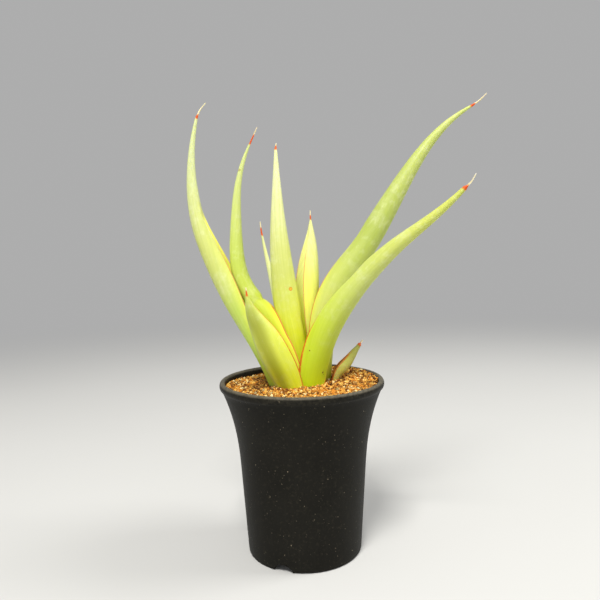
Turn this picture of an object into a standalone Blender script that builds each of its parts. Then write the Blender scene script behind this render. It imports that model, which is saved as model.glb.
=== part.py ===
"""Potted snake plant: a clump of channelled, pointed leaves in a flared pot of granular mix.

The pot stands on the ground plane at z = 0. Every leaf is one solid: a sheath that is open
towards the middle of the clump, closing into a round blade, a narrow ring and a dry tip.
The leaves stand on a short rootstock buried in the potting mix.
"""

import math
from dataclasses import dataclass

import bmesh
import bpy
import numpy as np
from mathutils import Matrix, Vector
from mathutils.geometry import convex_hull_2d

MM = 0.001

# ----- driving dimensions, millimetres and degrees -----

POT_HEIGHT = 110.6
RIM_DIAMETER = 105.0
FOOT_DIAMETER = 73.2
WALL = 1.6
SIDE_SLOPE = 0.066
FLARE_FROM = 55.0
FLARE_POWER = 2.45
LIP_WIDTH = 3.7
LIP_HEIGHT = 5.0

FOOT_RING_WIDTH = 2.6
FLOOR_LIFT = 5.2
FLOOR_THICKNESS = 1.6
NOTCH_COUNT = 3
NOTCH_WIDTH = 12.5
NOTCH_HEIGHT = 4.6
NOTCH_BEARING = -112.0
DRAIN_DIAMETER = 12.0
SMALL_DRAIN_DIAMETER = 5.0
SMALL_DRAIN_COUNT = 8
SMALL_DRAIN_CIRCLE = 40.0

SOIL_BELOW_RIM = 2.6
MOUND_HEIGHT = 2.2
MOUND_BEARING = 35.0
DIP_DEPTH = 2.6
DIP_BEARING = 138.0
HOLLOW_DEPTH = 2.0
HOLLOW_RADIUS = 7.0
HOLLOW_PLACE = (-26.0, -7.0)

LEAF_FOOT_BELOW_RIM = 20.6
PLANT_HEIGHT = 201.85
ROOTSTOCK_DEPTH = 42.0
ROOT_CORE_RADIUS = 8.0
ROOT_LOBES = 5
ROOT_LOBE_HEIGHT = 1.8
DRY_RADIUS = 0.6
TIP_RADIUS = 0.36

FIT_GAP = 0.3
SOCKET_GAP = 0.5

POT_SEGMENTS = 60
SOIL_SEGMENTS = 48
SIDE_SHARES = (0.3, 0.55, 0.68, 0.78, 0.86, 0.93, 1.0)
BORE_SHARES = (0.6, 0.8, 0.93)
TOP_SHARES = (0.0, 0.3, 0.6, 0.85, 1.0)
OUTER_POINTS = 11
INNER_POINTS = 5
LEAF_STATIONS = 16

FOOT_LEVEL = POT_HEIGHT - LEAF_FOOT_BELOW_RIM
FLOOR_TOP = FLOOR_LIFT + FLOOR_THICKNESS
SOIL_LEVEL = POT_HEIGHT - SOIL_BELOW_RIM


@dataclass(frozen=True)
class Leaf:
    """One leaf, drawn by how it stands and how its section changes from foot to ring.

    bearing is the compass direction of its lean and leans are the angles from upright at
    even steps from foot to ring. half_widths follow the same steps. face_turn turns the
    channel's back away from the bearing. wrap is how far each margin comes round at the
    foot, and closes_from and closes_by say where along the leaf the channel closes.
    """

    node: str
    foot: tuple[float, float]
    bearing: float
    length: float
    leans: tuple[float, ...]
    half_widths: tuple[float, ...]
    face_turn: float
    face_twist: float
    wrap: float
    closes_from: float
    closes_by: float
    channel_hold: float
    wall: float
    roundness: float
    tip_length: float
    tip_leans: tuple[float, float]


LEAVES = (
    Leaf(
        node="leaf_left_tall",
        foot=(-9.2, 4.0),
        bearing=174.0,
        length=201.4,
        leans=(14.0, 25.7, 28.0, 22.5, 1.7, -15.2),
        half_widths=(7.9, 8.4, 9.4, 6.7, 3.15, 0.8),
        face_turn=0.0,
        face_twist=0.0,
        wrap=80.0,
        closes_from=0.0,
        closes_by=0.80,
        channel_hold=0.22,
        wall=1.8,
        roundness=0.85,
        tip_length=10.7,
        tip_leans=(-27.0, -43.0),
    ),
    Leaf(
        node="leaf_left_inner",
        foot=(-0.9, 3.2),
        bearing=176.0,
        length=183.5,
        leans=(-5.7, 19.0, 42.1, 3.9, -5.2, -27.2),
        half_widths=(10.2, 10.2, 6.35, 4.7, 2.6, 0.5),
        face_turn=4.0,
        face_twist=0.0,
        wrap=105.0,
        closes_from=0.26,
        closes_by=0.45,
        channel_hold=0.4,
        wall=2.0,
        roundness=0.9,
        tip_length=10.6,
        tip_leans=(-26.0, -25.0),
    ),
    Leaf(
        node="leaf_back_spire",
        foot=(-5.1, 18.0),
        bearing=140.0,
        length=119.0,
        leans=(4.2, 9.5, 14.0, 16.1, 15.9, 13.2),
        half_widths=(4.6, 4.4, 3.8, 2.75, 1.6, 0.55),
        face_turn=-35.0,
        face_twist=0.0,
        wrap=80.0,
        closes_from=0.0,
        closes_by=0.55,
        channel_hold=0.4,
        wall=1.8,
        roundness=0.8,
        tip_length=7.3,
        tip_leans=(8.0, 8.0),
    ),
    Leaf(
        node="leaf_centre",
        foot=(2.0, 4.9),
        bearing=184.0,
        length=167.7,
        leans=(4.1, 10.7, 7.9, 4.3, 0.7, 0.0),
        half_widths=(6.0, 7.2, 8.4, 6.7, 3.65, 0.8),
        face_turn=86.0,
        face_twist=0.0,
        wrap=70.0,
        closes_from=0.0,
        closes_by=0.40,
        channel_hold=0.4,
        wall=2.6,
        roundness=0.75,
        tip_length=3.4,
        tip_leans=(-6.0, -6.0),
    ),
    Leaf(
        node="leaf_broad",
        foot=(6.9, 16.8),
        bearing=50.0,
        length=123.2,
        leans=(-1.2, -5.2, -4.2, 4.4, 9.3, 0.0),
        half_widths=(6.8, 7.5, 8.4, 8.6, 6.2, 0.5),
        face_turn=-22.0,
        face_twist=0.0,
        wrap=112.0,
        closes_from=0.0,
        closes_by=1.5,
        channel_hold=0.4,
        wall=2.0,
        roundness=0.9,
        tip_length=5.9,
        tip_leans=(-1.0, -1.0),
    ),
    Leaf(
        node="leaf_right_tall",
        foot=(8.2, 7.4),
        bearing=6.0,
        length=230.1,
        leans=(3.7, 8.6, 36.0, 31.6, 37.2, 61.8),
        half_widths=(9.8, 9.9, 9.0, 7.1, 3.9, 0.7),
        face_turn=-38.0,
        face_twist=0.0,
        wrap=83.0,
        closes_from=0.0,
        closes_by=0.58,
        channel_hold=0.4,
        wall=2.0,
        roundness=0.95,
        tip_length=12.3,
        tip_leans=(56.0, 47.0),
    ),
    Leaf(
        node="leaf_right_front",
        foot=(4.2, -3.2),
        bearing=-24.0,
        length=174.2,
        leans=(-2.3, 17.8, 35.8, 45.9, 54.3, 46.1),
        half_widths=(9.6, 9.6, 8.1, 5.95, 3.5, 1.25),
        face_turn=-52.0,
        face_twist=14.0,
        wrap=60.0,
        closes_from=0.0,
        closes_by=0.62,
        channel_hold=0.4,
        wall=2.4,
        roundness=0.95,
        tip_length=9.6,
        tip_leans=(49.0, 29.0),
    ),
    Leaf(
        node="leaf_front_short",
        foot=(-2.6, -7.6),
        bearing=205.0,
        length=84.3,
        leans=(9.0, 17.4, 28.6, 28.3, 28.9, 7.5),
        half_widths=(8.6, 9.3, 10.3, 9.1, 5.3, 0.5),
        face_turn=42.0,
        face_twist=0.0,
        wrap=70.0,
        closes_from=0.0,
        closes_by=1.6,
        channel_hold=0.4,
        wall=1.8,
        roundness=0.9,
        tip_length=4.0,
        tip_leans=(5.0, 5.0),
    ),
    Leaf(
        node="leaf_offset",
        foot=(19.4, 4.0),
        bearing=0.0,
        length=47.7,
        leans=(7.0, -1.2, 16.3, 48.0, 35.8, 38.4),
        half_widths=(3.4, 3.6, 3.55, 4.4, 2.9, 1.2),
        face_turn=0.0,
        face_twist=0.0,
        wrap=85.0,
        closes_from=0.0,
        closes_by=1.3,
        channel_hold=0.4,
        wall=1.1,
        roundness=1.0,
        tip_length=3.3,
        tip_leans=(37.0, 37.0),
    ),
)

CLOSED_WRAP = 172.0
MARGIN_THICKNESS = 0.5
ROUNDING_POWER = 9
SPINE_STEPS = 420

# ----- colours and roughness of each piece -----

POT_BLACK = (0.018, 0.018, 0.019)
MIX_AMBER = (0.56, 0.27, 0.07)
ROOT_BROWN = (0.32, 0.17, 0.06)
LEAF_GREEN = (0.52, 0.60, 0.12)


# ----- small geometry helpers -----


def eased(fraction):
    """Return a fraction with its ends flattened, held between 0 and 1."""
    held = min(max(fraction, 0.0), 1.0)
    return held * held * (3.0 - 2.0 * held)


def through(values, fraction):
    """Return a smooth curve through evenly spaced values, read at a fraction from 0 to 1."""
    last = len(values) - 1
    place = min(max(fraction, 0.0), 1.0) * last
    index = min(int(place), last - 1)
    step = place - index
    here = values[index]
    after = values[index + 1]
    before = values[index - 1] if index > 0 else 2.0 * here - after
    beyond = values[index + 2] if index + 2 <= last else 2.0 * after - here
    linear = after - before
    square = 2.0 * before - 5.0 * here + 4.0 * after - beyond
    cube = 3.0 * here - before - 3.0 * after + beyond
    return 0.5 * (2.0 * here + linear * step + square * step**2 + cube * step**3)


def circle_points(radius, height, count):
    """Return a level ring of points round the pot's axis."""
    angles = np.linspace(0.0, 2.0 * math.pi, count, endpoint=False)
    return np.stack([radius * np.cos(angles), radius * np.sin(angles), np.full(count, height)], -1)


def lofted_mesh(name, rings):
    """Return a closed mesh through equal rings of points in millimetres, capped at both ends."""
    work = bmesh.new()
    made = bmesh.ops.create_circle(work, cap_ends=True, segments=len(rings[0]), radius=MM)
    ring = list(made["verts"])
    for vert, point in zip(ring, rings[0]):
        vert.co = Vector(point) * MM
    for points in rings[1:]:
        edges = [edge_between(ring[i], ring[(i + 1) % len(ring)]) for i in range(len(ring))]
        grown = bmesh.ops.extrude_edge_only(work, edges=edges)
        fresh = [item for item in grown["geom"] if isinstance(item, bmesh.types.BMVert)]
        follow = {}
        for vert in fresh:
            for edge in vert.link_edges:
                other = edge.other_vert(vert)
                if other in ring:
                    follow[other] = vert
        ring = [follow[vert] for vert in ring]
        for vert, point in zip(ring, points):
            vert.co = Vector(point) * MM
    bmesh.ops.contextual_create(work, geom=ring)
    bmesh.ops.recalc_face_normals(work, faces=work.faces)
    if work.calc_volume(signed=True) < 0.0:
        bmesh.ops.reverse_faces(work, faces=work.faces)
    mesh = bpy.data.meshes.new(name)
    work.to_mesh(mesh)
    work.free()
    return mesh


def edge_between(first, second):
    """Return the edge that joins two vertices."""
    return next(edge for edge in first.link_edges if edge.other_vert(first) is second)


def principled(name, colour, roughness):
    """Return a Principled material of one colour with no metal in it."""
    material = bpy.data.materials.new(name)
    material.use_nodes = True
    shader = material.node_tree.nodes["Principled BSDF"]
    shader.inputs["Base Color"].default_value = (*colour, 1.0)
    shader.inputs["Roughness"].default_value = roughness
    shader.inputs["Metallic"].default_value = 0.0
    material.diffuse_color = (*colour, 1.0)
    return material


def placed(name, mesh, material, parent, location=(0.0, 0.0, 0.0)):
    """Put a mesh in the scene as one named piece, smooth but for its sharp edges."""
    piece = bpy.data.objects.new(name, mesh)
    bpy.context.scene.collection.objects.link(piece)
    piece.parent = parent
    piece.location = Vector(location) * MM
    mesh.materials.append(material)
    mesh.shade_smooth()
    mesh.set_sharp_from_angle(angle=math.radians(40.0))
    return piece


# ----- pot -----


def pot_outer(height):
    """Return the pot's outer radius under the lip: a straight side with a late flare."""
    lip_base = POT_HEIGHT - LIP_HEIGHT
    straight = 0.5 * FOOT_DIAMETER + SIDE_SLOPE * height
    room = 0.5 * RIM_DIAMETER - 1.4 - (0.5 * FOOT_DIAMETER + SIDE_SLOPE * lip_base)
    rise = max(height - FLARE_FROM, 0.0) / (lip_base - FLARE_FROM)
    return straight + room * rise**FLARE_POWER


def bore_profile():
    """Return the heights and radii of the pot's inner wall, from its floor to the lip."""
    lip_radius = 0.5 * RIM_DIAMETER - LIP_WIDTH
    heights = [FLOOR_TOP]
    heights += [share * (POT_HEIGHT - LIP_HEIGHT) for share in BORE_SHARES]
    radii = [min(pot_outer(height) - WALL, lip_radius) for height in heights]
    return heights + [POT_HEIGHT - 0.5 * LIP_HEIGHT], radii + [lip_radius]


def bore_radius(height):
    """Return the pot's inner radius at a height."""
    return float(np.interp(height, *bore_profile()))


def pot_rings():
    """Return the pot's profile as rings, from the underside over the lip to the floor."""
    lip_base = POT_HEIGHT - LIP_HEIGHT
    lip_middle = 0.5 * (RIM_DIAMETER - LIP_WIDTH)
    lip_centre = POT_HEIGHT - 0.5 * LIP_HEIGHT
    foot_inner = 0.5 * FOOT_DIAMETER - FOOT_RING_WIDTH
    profile = [(foot_inner, FLOOR_LIFT), (foot_inner, 0.0)]
    profile.append((0.5 * FOOT_DIAMETER - 0.6, 0.0))
    profile.append((0.5 * FOOT_DIAMETER, 0.8))
    for share in SIDE_SHARES:
        height = share * lip_base
        profile.append((pot_outer(height), height))
    for degrees in (-30.0, 5.0, 40.0, 75.0, 110.0, 145.0, 180.0):
        turn = math.radians(degrees)
        across = 0.5 * LIP_WIDTH * math.cos(turn)
        profile.append((lip_middle + across, lip_centre + 0.5 * LIP_HEIGHT * math.sin(turn)))
    bore = list(zip(*bore_profile()))[:-1]
    profile += [(radius, height) for height, radius in reversed(bore)]
    return [circle_points(radius, height, POT_SEGMENTS) for radius, height in profile]


def add_cylinder(work, radius, length, matrix, segments=20):
    """Add a closed cylinder, sized in millimetres, to a mesh being built."""
    bmesh.ops.create_cone(
        work,
        cap_ends=True,
        segments=segments,
        radius1=radius * MM,
        radius2=radius * MM,
        depth=length * MM,
        matrix=matrix,
    )


def pot_cutter(parent):
    """Return the cutter that opens the foot's arches and the floor's drain holes."""
    work = bmesh.new()
    half = 0.5 * NOTCH_WIDTH
    arch_radius = (half**2 + NOTCH_HEIGHT**2) / (2.0 * NOTCH_HEIGHT)
    arch_centre = NOTCH_HEIGHT - arch_radius
    reach = 0.5 * FOOT_DIAMETER - 0.5 * FOOT_RING_WIDTH
    for index in range(NOTCH_COUNT):
        bearing = math.radians(NOTCH_BEARING + 360.0 * index / NOTCH_COUNT)
        lay = Matrix.Rotation(bearing, 4, "Z") @ Matrix.Translation(
            Vector((reach, 0.0, arch_centre)) * MM
        )
        lay = lay @ Matrix.Rotation(math.radians(90.0), 4, "Y")
        add_cylinder(work, arch_radius, 4.0 * FOOT_RING_WIDTH, lay)
    middle = 0.5 * (FLOOR_LIFT + FLOOR_TOP)
    add_cylinder(
        work,
        0.5 * DRAIN_DIAMETER,
        3.0 * FLOOR_THICKNESS,
        Matrix.Translation(Vector((0.0, 0.0, middle)) * MM),
    )
    for index in range(SMALL_DRAIN_COUNT):
        bearing = 2.0 * math.pi * index / SMALL_DRAIN_COUNT
        spot = Vector((math.cos(bearing), math.sin(bearing), 0.0)) * 0.5 * SMALL_DRAIN_CIRCLE
        spot.z = middle
        add_cylinder(
            work,
            0.5 * SMALL_DRAIN_DIAMETER,
            3.0 * FLOOR_THICKNESS,
            Matrix.Translation(spot * MM),
            segments=12,
        )
    mesh = bpy.data.meshes.new("pot_cutter")
    work.to_mesh(mesh)
    work.free()
    cutter = bpy.data.objects.new("pot_cutter", mesh)
    bpy.context.scene.collection.objects.link(cutter)
    cutter.parent = parent
    cutter.hide_render = True
    cutter.display_type = "WIRE"
    return cutter


def build_pot(parent):
    """Build the flared pot with its lip, foot ring, arches and drain holes."""
    mesh = lofted_mesh("pot", pot_rings())
    pot = placed("pot", mesh, principled("pot_plastic", POT_BLACK, 0.55), parent)
    cut = pot.modifiers.new("foot_and_drains", "BOOLEAN")
    cut.operation = "DIFFERENCE"
    cut.solver = "EXACT"
    cut.object = pot_cutter(parent)
    return pot


# ----- leaves -----


def lean_direction(leaf, lean):
    """Return the direction that leans by an angle in degrees towards a leaf's bearing."""
    angle = math.radians(lean)
    bearing = math.radians(leaf.bearing)
    level = math.sin(angle)
    return np.array([level * math.cos(bearing), level * math.sin(bearing), math.cos(angle)])


def leaf_frame(leaf, fraction):
    """Return the along, across and inward directions of a leaf at a fraction of its length."""
    lean = through(leaf.leans, fraction)
    along = lean_direction(leaf, lean)
    facing = lean_direction(leaf, lean - 90.0)
    sideways = np.cross(facing, along)
    turn = math.radians(leaf.face_turn + leaf.face_twist * fraction)
    across = math.cos(turn) * sideways + math.sin(turn) * facing
    inward = -math.sin(turn) * sideways + math.cos(turn) * facing
    return along, across, inward


def leaf_rise(leaf):
    """Return how far a leaf's dry tip stands above its foot as drawn."""
    step = leaf.length / SPINE_STEPS
    rise = 0.0
    for index in range(SPINE_STEPS):
        rise += leaf_frame(leaf, (index + 0.5) / SPINE_STEPS)[0][2] * step
    for lean in leaf.tip_leans:
        rise += lean_direction(leaf, lean)[2] * 0.5 * leaf.tip_length
    return rise


GROWTH = PLANT_HEIGHT / max(leaf_rise(leaf) for leaf in LEAVES)


def leaf_spine(leaf):
    """Return evenly spaced points up the middle of a leaf, from its foot at the origin."""
    step = leaf.length * GROWTH / SPINE_STEPS
    points = [np.zeros(3)]
    for index in range(SPINE_STEPS):
        along = leaf_frame(leaf, (index + 0.5) / SPINE_STEPS)[0]
        points.append(points[-1] + along * step)
    return points


def leaf_section(leaf, fraction):
    """Return a leaf's section as across and inward distances, outer side then inner side."""
    half = through(leaf.half_widths, fraction) * GROWTH
    closing = eased((fraction - leaf.closes_from) / (leaf.closes_by - leaf.closes_from))
    wrap = math.radians(leaf.wrap + (CLOSED_WRAP - leaf.wrap) * closing)
    depth = half * (leaf.roundness + (1.0 - leaf.roundness) * closing)
    margin_height = -depth * math.cos(wrap)
    mouth = half * math.sin(wrap)
    edge = min(MARGIN_THICKNESS * GROWTH, 0.45 * mouth)
    open_depth = max(margin_height + depth - leaf.wall * GROWTH, 0.0)
    channel = open_depth * (1.0 - closing) ** leaf.channel_hold
    points = []
    for turn in np.linspace(-wrap, wrap, OUTER_POINTS):
        points.append((half * math.sin(turn), -depth * math.cos(turn)))
    for turn in np.linspace(0.5 * math.pi, -0.5 * math.pi, INNER_POINTS):
        inside = margin_height - channel * math.cos(turn)
        points.append(((mouth - edge) * math.sin(turn), inside))
    rounding = max(closing, fraction) ** ROUNDING_POWER
    return np.array(points) * (1.0 - rounding) + round_section(half, depth) * rounding


def round_section(half, depth):
    """Return an even oval of points in the order that a channelled section uses."""
    count = OUTER_POINTS + INNER_POINTS
    first = -math.pi * (OUTER_POINTS - 1) / count
    turns = first + 2.0 * math.pi * np.arange(count) / count
    return np.stack([half * np.sin(turns), -depth * np.cos(turns)], -1)


def leaf_rings(leaf):
    """Return a leaf's rings from its level foot to the ring, then along the dry tip."""
    spine = leaf_spine(leaf)
    rings = []
    for station in range(LEAF_STATIONS):
        fraction = station / (LEAF_STATIONS - 1)
        centre = spine[round(fraction * SPINE_STEPS)]
        along, across, inward = leaf_frame(leaf, fraction)
        section = leaf_section(leaf, fraction)
        ring = np.array([centre + a * across + b * inward for a, b in section])
        rings.append(ring)
    rings[0][:, 2] = 0.0
    shape = rings[-1] - spine[-1]
    centre = spine[-1]
    radius = leaf.half_widths[-1] * GROWTH
    for lean, size in zip(leaf.tip_leans, (0.5 * (DRY_RADIUS + TIP_RADIUS), TIP_RADIUS)):
        centre = centre + lean_direction(leaf, lean) * 0.5 * leaf.tip_length * GROWTH
        rings.append(centre + shape * (min(size, radius) / radius))
    return rings


def build_leaves(parent):
    """Build every leaf on its own foot."""
    for leaf in LEAVES:
        mesh = lofted_mesh(leaf.node, leaf_rings(leaf))
        skin = principled(leaf.node + "_skin", LEAF_GREEN, 0.45)
        foot = (leaf.foot[0] * GROWTH, leaf.foot[1] * GROWTH, FOOT_LEVEL)
        placed(leaf.node, mesh, skin, parent, foot)


# ----- clump outline, shared by the rootstock and the mix -----


def clump_outline():
    """Return the convex outline round all leaf feet, up to just above the mix."""
    top = SOIL_LEVEL + MOUND_HEIGHT + 1.5 - FOOT_LEVEL
    spots = []
    for leaf in LEAVES:
        foot = np.array([leaf.foot[0], leaf.foot[1], 0.0]) * GROWTH
        rings = leaf_rings(leaf)
        for lower, upper in zip(rings, rings[1:]):
            for first, second in zip(lower, upper):
                if first[2] > top:
                    continue
                share = 1.0
                if second[2] > top:
                    share = (top - first[2]) / (second[2] - first[2])
                spots.append(Vector((first + foot)[:2]))
                spots.append(Vector((first + (second - first) * share + foot)[:2]))
    return [spots[index] for index in convex_hull_2d(spots)]


def outline_centre(outline):
    """Return the middle of the outline's extent."""
    wide = [spot.x for spot in outline]
    deep = [spot.y for spot in outline]
    return Vector((0.5 * (min(wide) + max(wide)), 0.5 * (min(deep) + max(deep))))


def outline_reach(outline, centre, angle):
    """Return how far the outline is from its centre along an angle."""
    way = Vector((math.cos(angle), math.sin(angle)))
    reach = 0.0
    for first, second in zip(outline, outline[1:] + outline[:1]):
        side = second - first
        cross = way.cross(side)
        if abs(cross) < 1e-9:
            continue
        share = (first - centre).cross(way) / cross
        if -1e-6 <= share <= 1.0 + 1e-6:
            reach = max(reach, (first - centre).cross(side) / cross)
    return reach


def root_reach(height, angle, full):
    """Return the rootstock's radius at a height: a lobed root ball widening to the clump."""
    top = FOOT_LEVEL - FIT_GAP
    rise = (height - (top - ROOTSTOCK_DEPTH)) / ROOTSTOCK_DEPTH
    lobe = ROOT_LOBE_HEIGHT * math.cos(ROOT_LOBES * angle) * (1.0 - eased(rise))
    core = ROOT_CORE_RADIUS * (0.75 + 0.4 * rise) + lobe
    return core + (full - core) * eased((rise - 0.35) / 0.6)


ROOT_RISES = (0.0, 0.3, 0.55, 0.75, 0.95, 1.0)


def root_rings(outline, centre, extra):
    """Return the rootstock's rings, bottom first, grown outward by an extra clearance."""
    top = FOOT_LEVEL - FIT_GAP
    rings = []
    for rise in ROOT_RISES:
        height = top - ROOTSTOCK_DEPTH * (1.0 - rise)
        ring = []
        for index in range(SOIL_SEGMENTS):
            angle = 2.0 * math.pi * index / SOIL_SEGMENTS
            full = outline_reach(outline, centre, angle)
            reach = root_reach(height, angle, full) + extra
            spot = (centre.x + reach * math.cos(angle), centre.y + reach * math.sin(angle))
            ring.append((*spot, height))
        rings.append(np.array(ring))
    return rings


def build_rootstock(parent, outline, centre):
    """Build the buried rootstock that the leaves stand on."""
    mesh = lofted_mesh("rootstock", root_rings(outline, centre, 0.0))
    placed("rootstock", mesh, principled("root_bark", ROOT_BROWN, 0.85), parent)


# ----- potting mix -----


def soil_height(x, y):
    """Return the height of the mix: level, heaped at one side, dipped at the back left."""
    reach = math.hypot(x, y) / (0.5 * RIM_DIAMETER)
    bearing = math.degrees(math.atan2(y, x))
    mound_turn = (bearing - MOUND_BEARING + 180.0) % 360.0 - 180.0
    dip_turn = (bearing - DIP_BEARING + 180.0) % 360.0 - 180.0
    mound = MOUND_HEIGHT * math.exp(-((mound_turn / 45.0) ** 2)) * min(reach * 1.6, 1.0)
    dip = DIP_DEPTH * math.exp(-((dip_turn / 38.0) ** 2)) * min(reach, 1.0) ** 2
    aside = math.hypot(x - HOLLOW_PLACE[0], y - HOLLOW_PLACE[1])
    hollow = HOLLOW_DEPTH * math.exp(-((aside / HOLLOW_RADIUS) ** 2))
    return SOIL_LEVEL + mound - dip - hollow


def soil_rings(outline, centre):
    """Return the mix's rings: up the pot's wall, over the top, down round the rootstock."""
    angles = [2.0 * math.pi * index / SOIL_SEGMENTS for index in range(SOIL_SEGMENTS)]
    side = [(math.cos(angle), math.sin(angle)) for angle in angles]
    rings = []
    for height in bore_profile()[0][:-1]:
        level = max(height, FLOOR_TOP + FIT_GAP)
        rings.append(circle_points(bore_radius(level) - FIT_GAP, level, SOIL_SEGMENTS))
    rim = []
    for c, s in side:
        widest = 0.5 * RIM_DIAMETER - LIP_WIDTH - FIT_GAP
        radius = bore_radius(soil_height(widest * c, widest * s)) - FIT_GAP
        rim.append((radius * c, radius * s))
    hole = [outline_reach(outline, centre, angle) + SOCKET_GAP for angle in angles]
    inner = [(centre.x + r * c, centre.y + r * s) for r, (c, s) in zip(hole, side)]
    for share in TOP_SHARES:
        ring = []
        for (rim_x, rim_y), (inner_x, inner_y) in zip(rim, inner):
            x = rim_x + (inner_x - rim_x) * share
            y = rim_y + (inner_y - rim_y) * share
            ring.append((x, y, soil_height(x, y)))
        rings.append(np.array(ring))
    socket = root_rings(outline, centre, SOCKET_GAP)
    socket[0][:, 2] -= SOCKET_GAP
    return rings + socket[::-1]


def build_mix(parent, outline, centre):
    """Build the potting mix as one solid with a socket for the clump."""
    mesh = lofted_mesh("potting_mix", soil_rings(outline, centre))
    placed("potting_mix", mesh, principled("potting_mix_grain", MIX_AMBER, 0.9), parent)


# ----- whole plant -----


def stand_on_origin(parent):
    """Move the parent so that the plant's box stands centred on the origin."""
    bpy.context.view_layer.update()
    corners = []
    for piece in parent.children:
        if piece.hide_render:
            continue
        corners += [piece.matrix_world @ vert.co for vert in piece.data.vertices]
    for axis in (0, 1):
        low = min(corner[axis] for corner in corners)
        high = max(corner[axis] for corner in corners)
        parent.location[axis] = -0.5 * (low + high)


def main():
    """Clear the scene and build the potted plant."""
    for old in list(bpy.data.objects):
        bpy.data.objects.remove(old, do_unlink=True)
    stand = bpy.data.objects.new("stand", None)
    bpy.context.scene.collection.objects.link(stand)
    outline = clump_outline()
    centre = outline_centre(outline)
    build_pot(stand)
    build_rootstock(stand, outline, centre)
    build_mix(stand, outline, centre)
    build_leaves(stand)
    stand_on_origin(stand)


main()
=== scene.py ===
"""Looks of a potted snake plant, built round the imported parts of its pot, mix and leaves."""

import logging
import math
from dataclasses import dataclass
from enum import Enum

import bmesh
import bpy
import numpy as np
from mathutils import Matrix, Vector


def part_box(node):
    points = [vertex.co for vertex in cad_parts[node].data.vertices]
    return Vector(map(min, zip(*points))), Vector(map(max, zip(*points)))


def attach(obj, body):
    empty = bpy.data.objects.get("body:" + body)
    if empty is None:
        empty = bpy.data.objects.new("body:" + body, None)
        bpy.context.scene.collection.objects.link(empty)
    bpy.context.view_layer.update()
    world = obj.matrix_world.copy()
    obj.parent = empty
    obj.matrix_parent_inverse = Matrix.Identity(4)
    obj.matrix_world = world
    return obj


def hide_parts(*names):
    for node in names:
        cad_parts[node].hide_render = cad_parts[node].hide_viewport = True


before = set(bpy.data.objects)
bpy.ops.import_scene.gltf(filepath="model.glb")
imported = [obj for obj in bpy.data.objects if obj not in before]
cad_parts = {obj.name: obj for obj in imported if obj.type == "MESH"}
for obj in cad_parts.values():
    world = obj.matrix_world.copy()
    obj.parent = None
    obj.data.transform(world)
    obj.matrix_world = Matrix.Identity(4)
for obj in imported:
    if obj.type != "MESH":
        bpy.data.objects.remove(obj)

MM = 0.001
BODY = "root"
log = logging.getLogger("plant")

Number = float | int
Colour = tuple[float, float, float]


# ---------------------------------------------------------------------------
# Material maths
# ---------------------------------------------------------------------------


def ink(red: Number, green: Number, blue: Number) -> Colour:
    """Turn a colour on the usual 0 to 255 scale into the linear values that shaders use.

    Args:
        red: Red, 0 to 255.
        green: Green, 0 to 255.
        blue: Blue, 0 to 255.

    Returns:
        The linear colour.
    """
    linear = []
    for part in (red, green, blue):
        share = part / 255.0
        linear.append(share / 12.92 if share <= 0.04045 else ((share + 0.055) / 1.055) ** 2.4)
    return (linear[0], linear[1], linear[2])


class Wire:
    """A number that changes over a surface, with Python's operators as Math nodes."""

    def __init__(self, graph: "Graph", socket: bpy.types.NodeSocket) -> None:
        """Keep the socket and the graph it belongs to."""
        self.graph = graph
        self.socket = socket

    def _maths(self, operation: str, *terms: "Wire | Number", clamp: bool = False) -> "Wire":
        """Add one Math node.

        Args:
            operation: The Math node's operation.
            terms: Its inputs in order.
            clamp: Whether the result is held between 0 and 1.

        Returns:
            The node's result.
        """
        settings = {"operation": operation, "use_clamp": clamp}
        return self.graph.node("ShaderNodeMath", settings, dict(enumerate(terms)))

    def __add__(self, other: "Wire | Number") -> "Wire":
        """Return the sum."""
        return self._maths("ADD", self, other)

    __radd__ = __add__

    def __mul__(self, other: "Wire | Number") -> "Wire":
        """Return the product."""
        return self._maths("MULTIPLY", self, other)

    __rmul__ = __mul__

    def __sub__(self, other: "Wire | Number") -> "Wire":
        """Return the difference."""
        return self._maths("SUBTRACT", self, other)

    def __rsub__(self, other: "Wire | Number") -> "Wire":
        """Return the difference with this value taken away."""
        return self._maths("SUBTRACT", other, self)

    def __truediv__(self, other: "Wire | Number") -> "Wire":
        """Return the quotient."""
        return self._maths("DIVIDE", self, other)

    def held(self) -> "Wire":
        """Return this value held between 0 and 1."""
        return self._maths("ADD", self, 0.0, clamp=True)

    def between(self, low: Number, high: Number) -> "Wire":
        """Rise smoothly from 0 to 1 as this value goes from low to high.

        Args:
            low: Where the result is 0.
            high: Where the result is 1. It may be under low, which turns the rise round.

        Returns:
            The smooth step.
        """
        flip = high < low
        settings = {"interpolation_type": "SMOOTHSTEP"}
        inputs = {"Value": self, "From Min": min(low, high), "From Max": max(low, high)}
        inputs |= {"To Min": 1.0 if flip else 0.0, "To Max": 0.0 if flip else 1.0}
        return self.graph.node("ShaderNodeMapRange", settings, inputs)


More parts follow.
